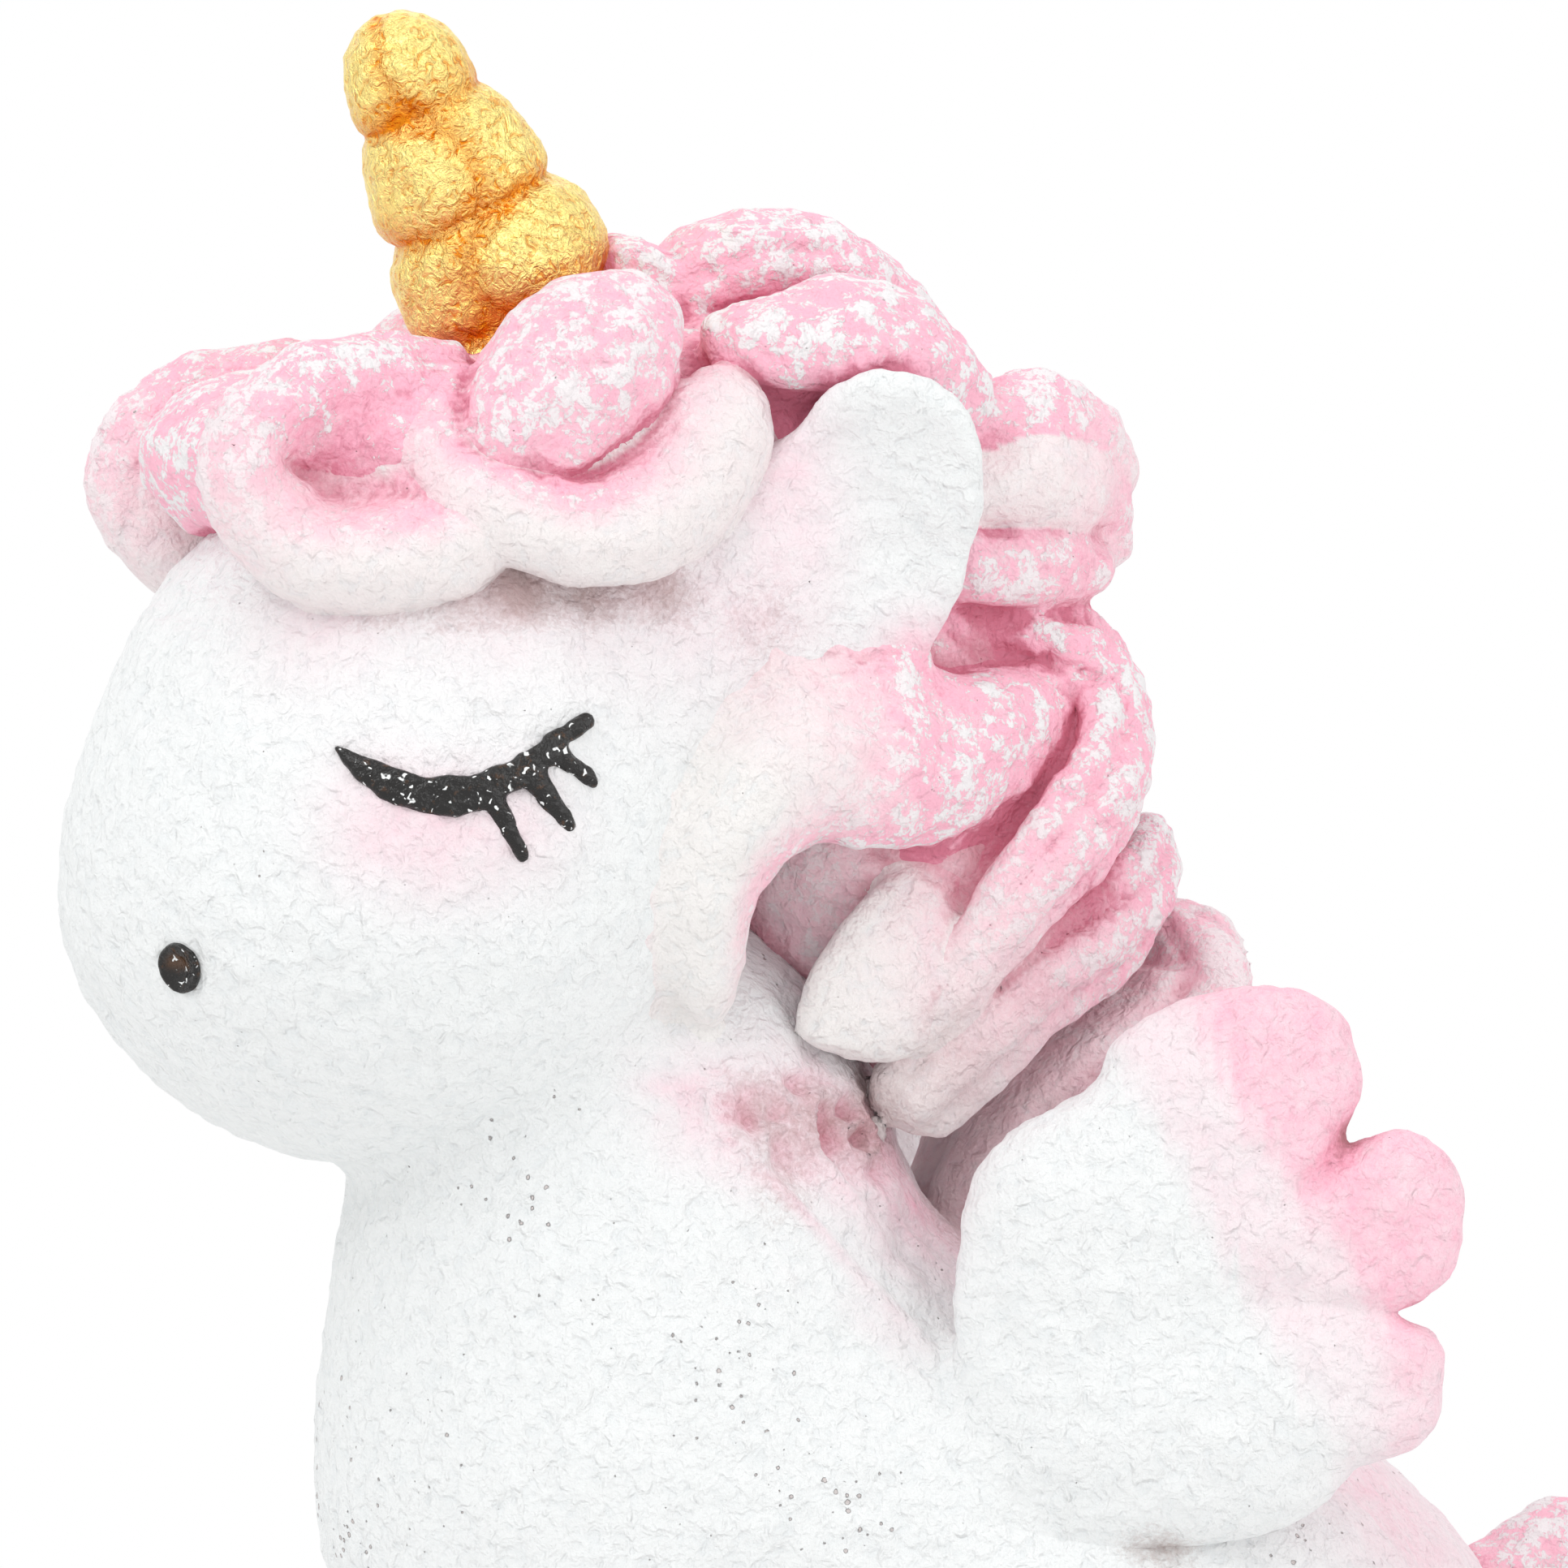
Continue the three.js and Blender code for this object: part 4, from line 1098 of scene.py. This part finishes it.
def bun_rolls():
    """Centres, radii and amounts of pink of the rolls of the curl at the back of the head, on both flanks."""
    share = np.linspace(0, 1, 25)
    rolls = []
    for path, radii, pinks in BUN_ROLLS:
        near = curve_through(on_left(path), share)
        for whole in (near, near * (1, -1, 1)):
            rolls.append((whole, along(radii, share), along(pinks, share)))
    return rolls


class ORNAMENT_OT_mane(bpy.types.Operator):
    """Sculpt the locks and knots of the mane, which press against each other like clay"""
    bl_idname = "ornament.mane"
    bl_label = "Mane"

    def execute(self, context):
        sizes, paint = chosen(context)
        sides = np.arange(0, CLAY_OUT, CLAY_STEP)
        axes = (AXIS_X + np.arange(*CLAY_BACK, CLAY_STEP), np.concatenate((-sides[:0:-1], sides)),
                np.arange(*CLAY_HEIGHT, CLAY_STEP))
        nearest, second = (np.full([len(axis) for axis in axes], FAR) for _ in range(2))
        rolls = bun_rolls()
        locks, blocks = {}, {}
        for kind, shape in LOCKS.items():
            path = on_left(shape["path"])
            outward, cap = shape.get("outward", from_head), shape.get("cap", LOCK_CAP)
            locks[kind] = stations(path, shape["halves"], outward, cap)
            foot = max(shape["round_by"], shape.get("head_round", HEAD_ROUND), VALLEY)
            blocks[kind] = box_about(path, max(shape["halves"]) + foot + 1)
        blocks["nape_bun"] = box_about(np.concatenate([places for places, _, _ in rolls]), BUN_MARGIN)

        fields = {}
        for kind, (low, high) in blocks.items():
            block = tuple(slice(*np.searchsorted(axis, (a, b))) for axis, a, b in zip(axes, low, high))
            spans = [axis[part] for axis, part in zip(axes, block)]
            points = lattice(spans)
            if kind == "nape_bun":
                own = egg_field(points, by_axis(*BUN_HEART), BUN_HEART_HALF)
                for places, radii, _ in rolls:
                    own = joined(own, rod_field(points, places, radii), BUN_FILLET)
                own += noise(points.reshape(-1, 3), BUN_LUMPS).reshape(own.shape)
            else:
                own = lock_field(points, locks[kind], *LOCKS[kind]["strands"])
            fields[kind] = block, spans, points, own
            second[block] = np.minimum(second[block], np.maximum(nearest[block], own))
            nearest[block] = np.minimum(nearest[block], own)

        for kind, (block, spans, points, own) in fields.items():
            shape = LOCKS.get(kind, BUN_FEET)
            others = np.where(own <= nearest[block], second[block], nearest[block])
            if kind in CENTRED:
                others = np.minimum(others, others[:, ::-1])
            clay = filleted(own, others, VALLEY)
            clay = filleted(clay, np.minimum(core_field(points), body_field(points)), shape["round_by"])
            skull = np.minimum(head_field(points), ear_field(points, sizes))
            clay = filleted(clay, skull, shape.get("head_round", HEAD_ROUND), HEAD_UNDER)
            verts, faces = net(clay, spans)
            if kind == "nape_bun":
                places, pinks = (np.concatenate([roll[column] for roll in rolls]) for column in (0, 2))
                pink = pinks[np.argmin(np.sum(places ** 2, axis=1) - 2 * verts @ places.T, axis=1)]
            else:
                pink = lock_pink(
                    verts, faces, locks[kind], shape["pinks"], shape.get("outer"), shape.get("inside"))
            rough = roughened(verts, faces, CLAY_GRAIN) - verts
            verts = verts + rough * (0.4 + 0.6 * np.clip(pink, 0, 1))[:, None]
            add_pieces(f"{kind}_clay", kind, verts, faces, CLAY, paint, pink,
                       words=WHOLE if kind in CENTRED else FLANKS)
        return {"FINISHED"}


# Tail, behind the neck axis, out from the centre plane and above the ground: paths, half widths and pink;
# thickness over width, number of strands, how far they turn and how deep their creases are
TAIL_CENTRE = ((52, 0, 17), (58, 0, 20.3), (64, 0, 23.2), (69, 0, 21), (70.5, 0, 13), (67, 0, 4))
TAIL_SIDE = ((53, 5, 13), (60, 7.5, 17), (65, 8, 13), (65, 7.5, 4))
TAIL_HALVES = (4.2, 4.2, 4.2, 4.2, 4.2, 2.1)
TAIL_SIDE_HALVES = (3.6, 3.6, 3.6, 1.8)
TAIL_PINKS = (0.9, 0.9, 0.7, 0.4)
TAIL_STRANDS = (1.0, 4, 0.8, 0.18)


class ORNAMENT_OT_tail(bpy.types.Operator):
    """Sculpt the three locks of the tail"""
    bl_idname = "ornament.tail"
    bl_label = "Tail"

    def execute(self, context):
        _, paint = chosen(context)
        for words, path, halves in ((("_centre",), TAIL_CENTRE, TAIL_HALVES),
                                    (FLANKS, TAIL_SIDE, TAIL_SIDE_HALVES)):
            places = on_left(path)
            lock = stations(places, halves, sideways)

            def field(points):
                return grounded(lock_field(points, lock, *TAIL_STRANDS), points)

            verts, faces = skin(field, *box_about(places, 6), CLAY_STEP)
            pink = along(TAIL_PINKS, about_lock(verts, lock)[0])
            add_pieces("tail_clay", "tail_lock", verts, faces, CLAY, paint, pink, CLAY_GRAIN, words)
        return {"FINISHED"}


# Painted shade, wash and dry brush: how crowded the space about a corner is, on a grid of this step with a
# margin about the figure, filled to this depth under the skin, blurred over this radius and read this far
# above the skin
CROWD_STEP, CROWD_MARGIN = 0.5, 8
CROWD_DEPTH = 3.0
CROWD_BLUR = 1.3
CROWD_LIFT = 0.3


def blurred(grid, radius):
    """A grid of values, blurred by a bell curve whose radius is given in cells."""
    reach = math.ceil(2.5 * radius)
    weights = np.exp(-0.5 * (np.arange(-reach, reach + 1) / radius) ** 2)
    weights /= weights.sum()
    for axis in range(3):
        padded = np.pad(grid, [(reach, reach) if a == axis else (0, 0) for a in range(3)])
        size = grid.shape[axis]
        grid = sum(weight * padded.take(range(i, i + size), axis=axis) for i, weight in enumerate(weights))
    return grid


# Brown wash and painted shade left behind and under the locks and in other creases, as (back, out, height,
# radius, strength)
SHADE_AND_WASH_SPOTS = (
    (12.9, 9.5, 54.6, 1.6, 1.0), (18.5, 9, 80.4, 2, 0.6), (-20.5, 14, 83.5, 2.5, 0.4),
    (-16, 15, 83.4, 2.6, 0.5), (-12.1, 15.3, 84.6, 2.5, 0.95), (-7.5, 15.2, 84.5, 2.4, 0.75),
    (-3, 14.8, 84.4, 2.3, 0.65), (-22, 12, 92, 4, 0.5),
    (14.5, 9.5, 53, 3.5, 0.5), (25, 8, 87, 5, 0.3), (26, 22, 27.5, 3, 0.7), (15.5, 17, 41, 1.4, 0.7),
    (3, 14, 53.5, 3, 0.5), (7.5, 13, 52.8, 3.2, 0.6), (11.5, 11.5, 51.8, 2.6, 0.7), (16, 14, 58, 3, 0.45),
    (17, 12, 55.5, 3.5, 0.5), (22, 12, 60, 3, 0.4), (21, 6, 47, 5, 0.6), (26, 8, 52, 4, 0.45),
    (3.2, 15, 82.5, 4, 0.35), (4, 15, 48.5, 3.5, 0.4), (36, 26, 51.6, 2, 0.9),
    (40.3, 27.8, 41.5, 1.2, 0.7))


class ORNAMENT_OT_shade_and_wash(bpy.types.Operator):
    """Find the creases and the ridges of the whole figure, where wash settles and shade is painted, and where
    a dry brush touches
    """
    bl_idname = "ornament.wash"
    bl_label = "Wash"

    def execute(self, context):
        pieces = [o for o in context.scene.objects if o.type == "MESH" and "tint" in o.data.attributes
                  and o.data.materials[0].name != ENAMEL]
        low = np.array(CAD_BOX[0]) / MM - CROWD_MARGIN
        shape = np.ceil((np.array(CAD_BOX[1]) / MM + CROWD_MARGIN - low) / CROWD_STEP).astype(int)
        full = np.zeros(shape, np.float32)
        corners = {}

        def cells(places):
            return tuple(np.clip(((places - low) / CROWD_STEP).astype(int), 0, shape - 1).T)

        for piece in pieces:
            count = len(piece.data.vertices)
            places, normals = np.empty(count * 3, np.float32), np.empty(count * 3, np.float32)
            piece.data.vertices.foreach_get("co", places)
            piece.data.vertices.foreach_get("normal", normals)
            places, normals = places.reshape(-1, 3) / MM, normals.reshape(-1, 3)
            corners[piece.name] = places, normals
            for depth in np.arange(CROWD_STEP / 2, CROWD_DEPTH, CROWD_STEP):
                full[cells(places - normals * depth)] = 1
        crowd = blurred(full, CROWD_BLUR / CROWD_STEP)
        for piece in pieces:
            places, normals = corners[piece.name]
            value = crowd[cells(places + normals * CROWD_LIFT)]
            # Painted shade and wash: these spots, and on the clay also where the space about a corner is
            # crowded
            shade_and_wash = airbrushed(places, SHADE_AND_WASH_SPOTS)
            if piece.data.materials[0].name == CLAY:
                pink = np.empty(len(places), np.float32)
                piece.data.attributes["tint"].data.foreach_get("value", pink)
                shade_and_wash = np.maximum(shade_and_wash, smoothstep(0.42, 0.72, value) * smoothstep(0, 0.35, pink))
            for word, amount in (("shade_and_wash", shade_and_wash), ("ridge", smoothstep(-0.42, -0.25, -value))):
                layer = piece.data.attributes.new(word, "FLOAT", "POINT")
                layer.data.foreach_set("value", amount.astype(np.float32))
        return {"FINISHED"}


# View: the middle of the view from the neck axis and above the ground, its width there, and its direction as
# azimuth and elevation in degrees
VIEW_MIDDLE = (10.2, 0, 72.7)
VIEW_WIDTH = 96.6
VIEW_DIRECTION = (-20, 1)
# Lamps: name, azimuth and elevation in degrees, distance and size in metres, power in watts
LAMPS = (
    ("key_softbox", -60, 50, 0.7, 0.6, 1.5), ("small_softbox", -50, 35, 0.7, 0.08, 0.15),
    ("fill_softbox", 40, 25, 0.8, 0.6, 1.2), ("back_softbox", 170, 45, 0.8, 0.6, 0.6))
AMBIENT = 0.81
# Floor, in metres: how far it reaches, where it starts to fade and where it is white
FLOOR_RADIUS, FLOOR_SIDES = 0.6, 96
FLOOR_PLAIN, FLOOR_WHITE = 0.11, 0.24


def seen_rays(node):
    """A factor that is 1 for rays that show the background: to the camera, in gloss and through glass."""
    path = node("LightPath")
    shown = path["Is Camera Ray"]
    for word in ("Is Glossy Ray", "Is Transmission Ray"):
        shown = node("Math", {0: shown, 1: path[word]}, operation="MAXIMUM")[0]
    return shown


def pale_floor(node):
    """Matt painted board: pale under the figure, where it keeps the shadow, and white further off."""
    place = node("TexCoord")["Object"]
    away = node("VectorMath", {0: place}, operation="LENGTH")["Value"]
    fade = node("MapRange", {
        "Value": away, "From Min": FLOOR_PLAIN, "From Max": FLOOR_WHITE}, interpolation_type="SMOOTHSTEP")[0]
    fade = node("Math", {0: fade, 1: seen_rays(node)}, operation="MULTIPLY")[0]
    speck = node("TexNoise", {"Vector": place, "Scale": size_in(1.5)})["Fac"]
    tone = node("Mix", {
        0: speck, 6: colour_of(linear("f2f2f1")), 7: colour_of(linear("f6f6f6"))}, data_type="RGBA")[2]
    board = node("BsdfPrincipled", {"Base Color": tone, "Roughness": 0.9})[0]
    white = node("Emission", {"Strength": 1.0})[0]
    return node("MixShader", {0: fade, 1: board, 2: white})[0]


def look_from(scene, data, middle, azimuth, elevation, distance):
    """Adds a lamp or a camera that looks at the middle of the view, from that direction in degrees."""
    azimuth, elevation = math.radians(azimuth), math.radians(elevation)
    level = math.cos(elevation)
    away = Vector((math.sin(azimuth) * level, -math.cos(azimuth) * level, math.sin(elevation)))
    holder = bpy.data.objects.new(data.name, data)
    holder.location = middle + away * distance
    holder.rotation_euler = away.to_track_quat("Z", "Y").to_euler()
    scene.collection.objects.link(holder)
    return holder


class ORNAMENT_OT_stage(bpy.types.Operator):
    """Set up the floor, the studio light and the camera"""
    bl_idname = "ornament.stage"
    bl_label = "Stage"

    def execute(self, context):
        scene = context.scene
        angle = np.linspace(0, 2 * math.pi, FLOOR_SIDES, endpoint=False)
        rim = np.stack((np.cos(angle), np.sin(angle), np.zeros(FLOOR_SIDES)), axis=1) * FLOOR_RADIUS
        mesh = bpy.data.meshes.new("floor")
        mesh.from_pydata(rim.tolist(), [], [list(range(FLOOR_SIDES))])
        mesh.materials.append(finished("Matt white board", pale_floor))
        floor = bpy.data.objects.new("floor", mesh)
        scene.collection.objects.link(floor)

        world = bpy.data.worlds.new("White studio")
        node = emptied(world)
        light, white = (node("Background", {"Color": (1, 1, 1, 1), "Strength": strength})[0]
                        for strength in (AMBIENT, 1.0))
        mixed = node("MixShader", {0: seen_rays(node), 1: light, 2: white})[0]
        node("OutputWorld", {0: mixed})
        scene.world = world

        middle = Vector(by_axis(*VIEW_MIDDLE)) * MM
        for name, azimuth, elevation, distance, size, power in LAMPS:
            lamp = bpy.data.lights.new(name, "AREA")
            lamp.size = size
            lamp.energy = power
            look_from(scene, lamp, middle, azimuth, elevation, distance)

        distance = scene.ornament_sizes.camera_distance
        lens = bpy.data.cameras.new("view")
        lens.angle = 2 * math.atan(VIEW_WIDTH * MM / 2 / distance)
        scene.camera = look_from(scene, lens, middle, *VIEW_DIRECTION, distance)
        scene.view_settings.view_transform = "Standard"
        return {"FINISHED"}


OPERATORS = (
    ORNAMENT_OT_body, ORNAMENT_OT_head, ORNAMENT_OT_ears, ORNAMENT_OT_wings, ORNAMENT_OT_legs,
    ORNAMENT_OT_hooves, ORNAMENT_OT_horn, ORNAMENT_OT_enamel, ORNAMENT_OT_mane_core, ORNAMENT_OT_mane,
    ORNAMENT_OT_tail, ORNAMENT_OT_shade_and_wash, ORNAMENT_OT_stage)


class ORNAMENT_PT_panel(bpy.types.Panel):
    """Sizes, paints and steps of the ornament"""
    bl_idname = "ORNAMENT_PT_panel"
    bl_label = "Unicorn ornament"
    bl_space_type = "VIEW_3D"
    bl_region_type = "UI"
    bl_category = "Ornament"

    def draw(self, context):
        for group in (context.scene.ornament_sizes, context.scene.ornament_paint):
            box = self.layout.box()
            for name in group.__annotations__:
                box.prop(group, name)
        for operator in OPERATORS:
            self.layout.operator(operator.bl_idname)


CLASSES = (OrnamentSizes, OrnamentPaint, *OPERATORS, ORNAMENT_PT_panel)


def register():
    for cls in CLASSES:
        bpy.utils.register_class(cls)
    bpy.types.Scene.ornament_sizes = PointerProperty(type=OrnamentSizes)
    bpy.types.Scene.ornament_paint = PointerProperty(type=OrnamentPaint)


def unregister():
    del bpy.types.Scene.ornament_paint
    del bpy.types.Scene.ornament_sizes
    for cls in reversed(CLASSES):
        bpy.utils.unregister_class(cls)


def main():
    register()
    for operator in OPERATORS:
        group, name = operator.bl_idname.split(".")
        getattr(getattr(bpy.ops, group), name)()


if __name__ == "__main__":
    main()
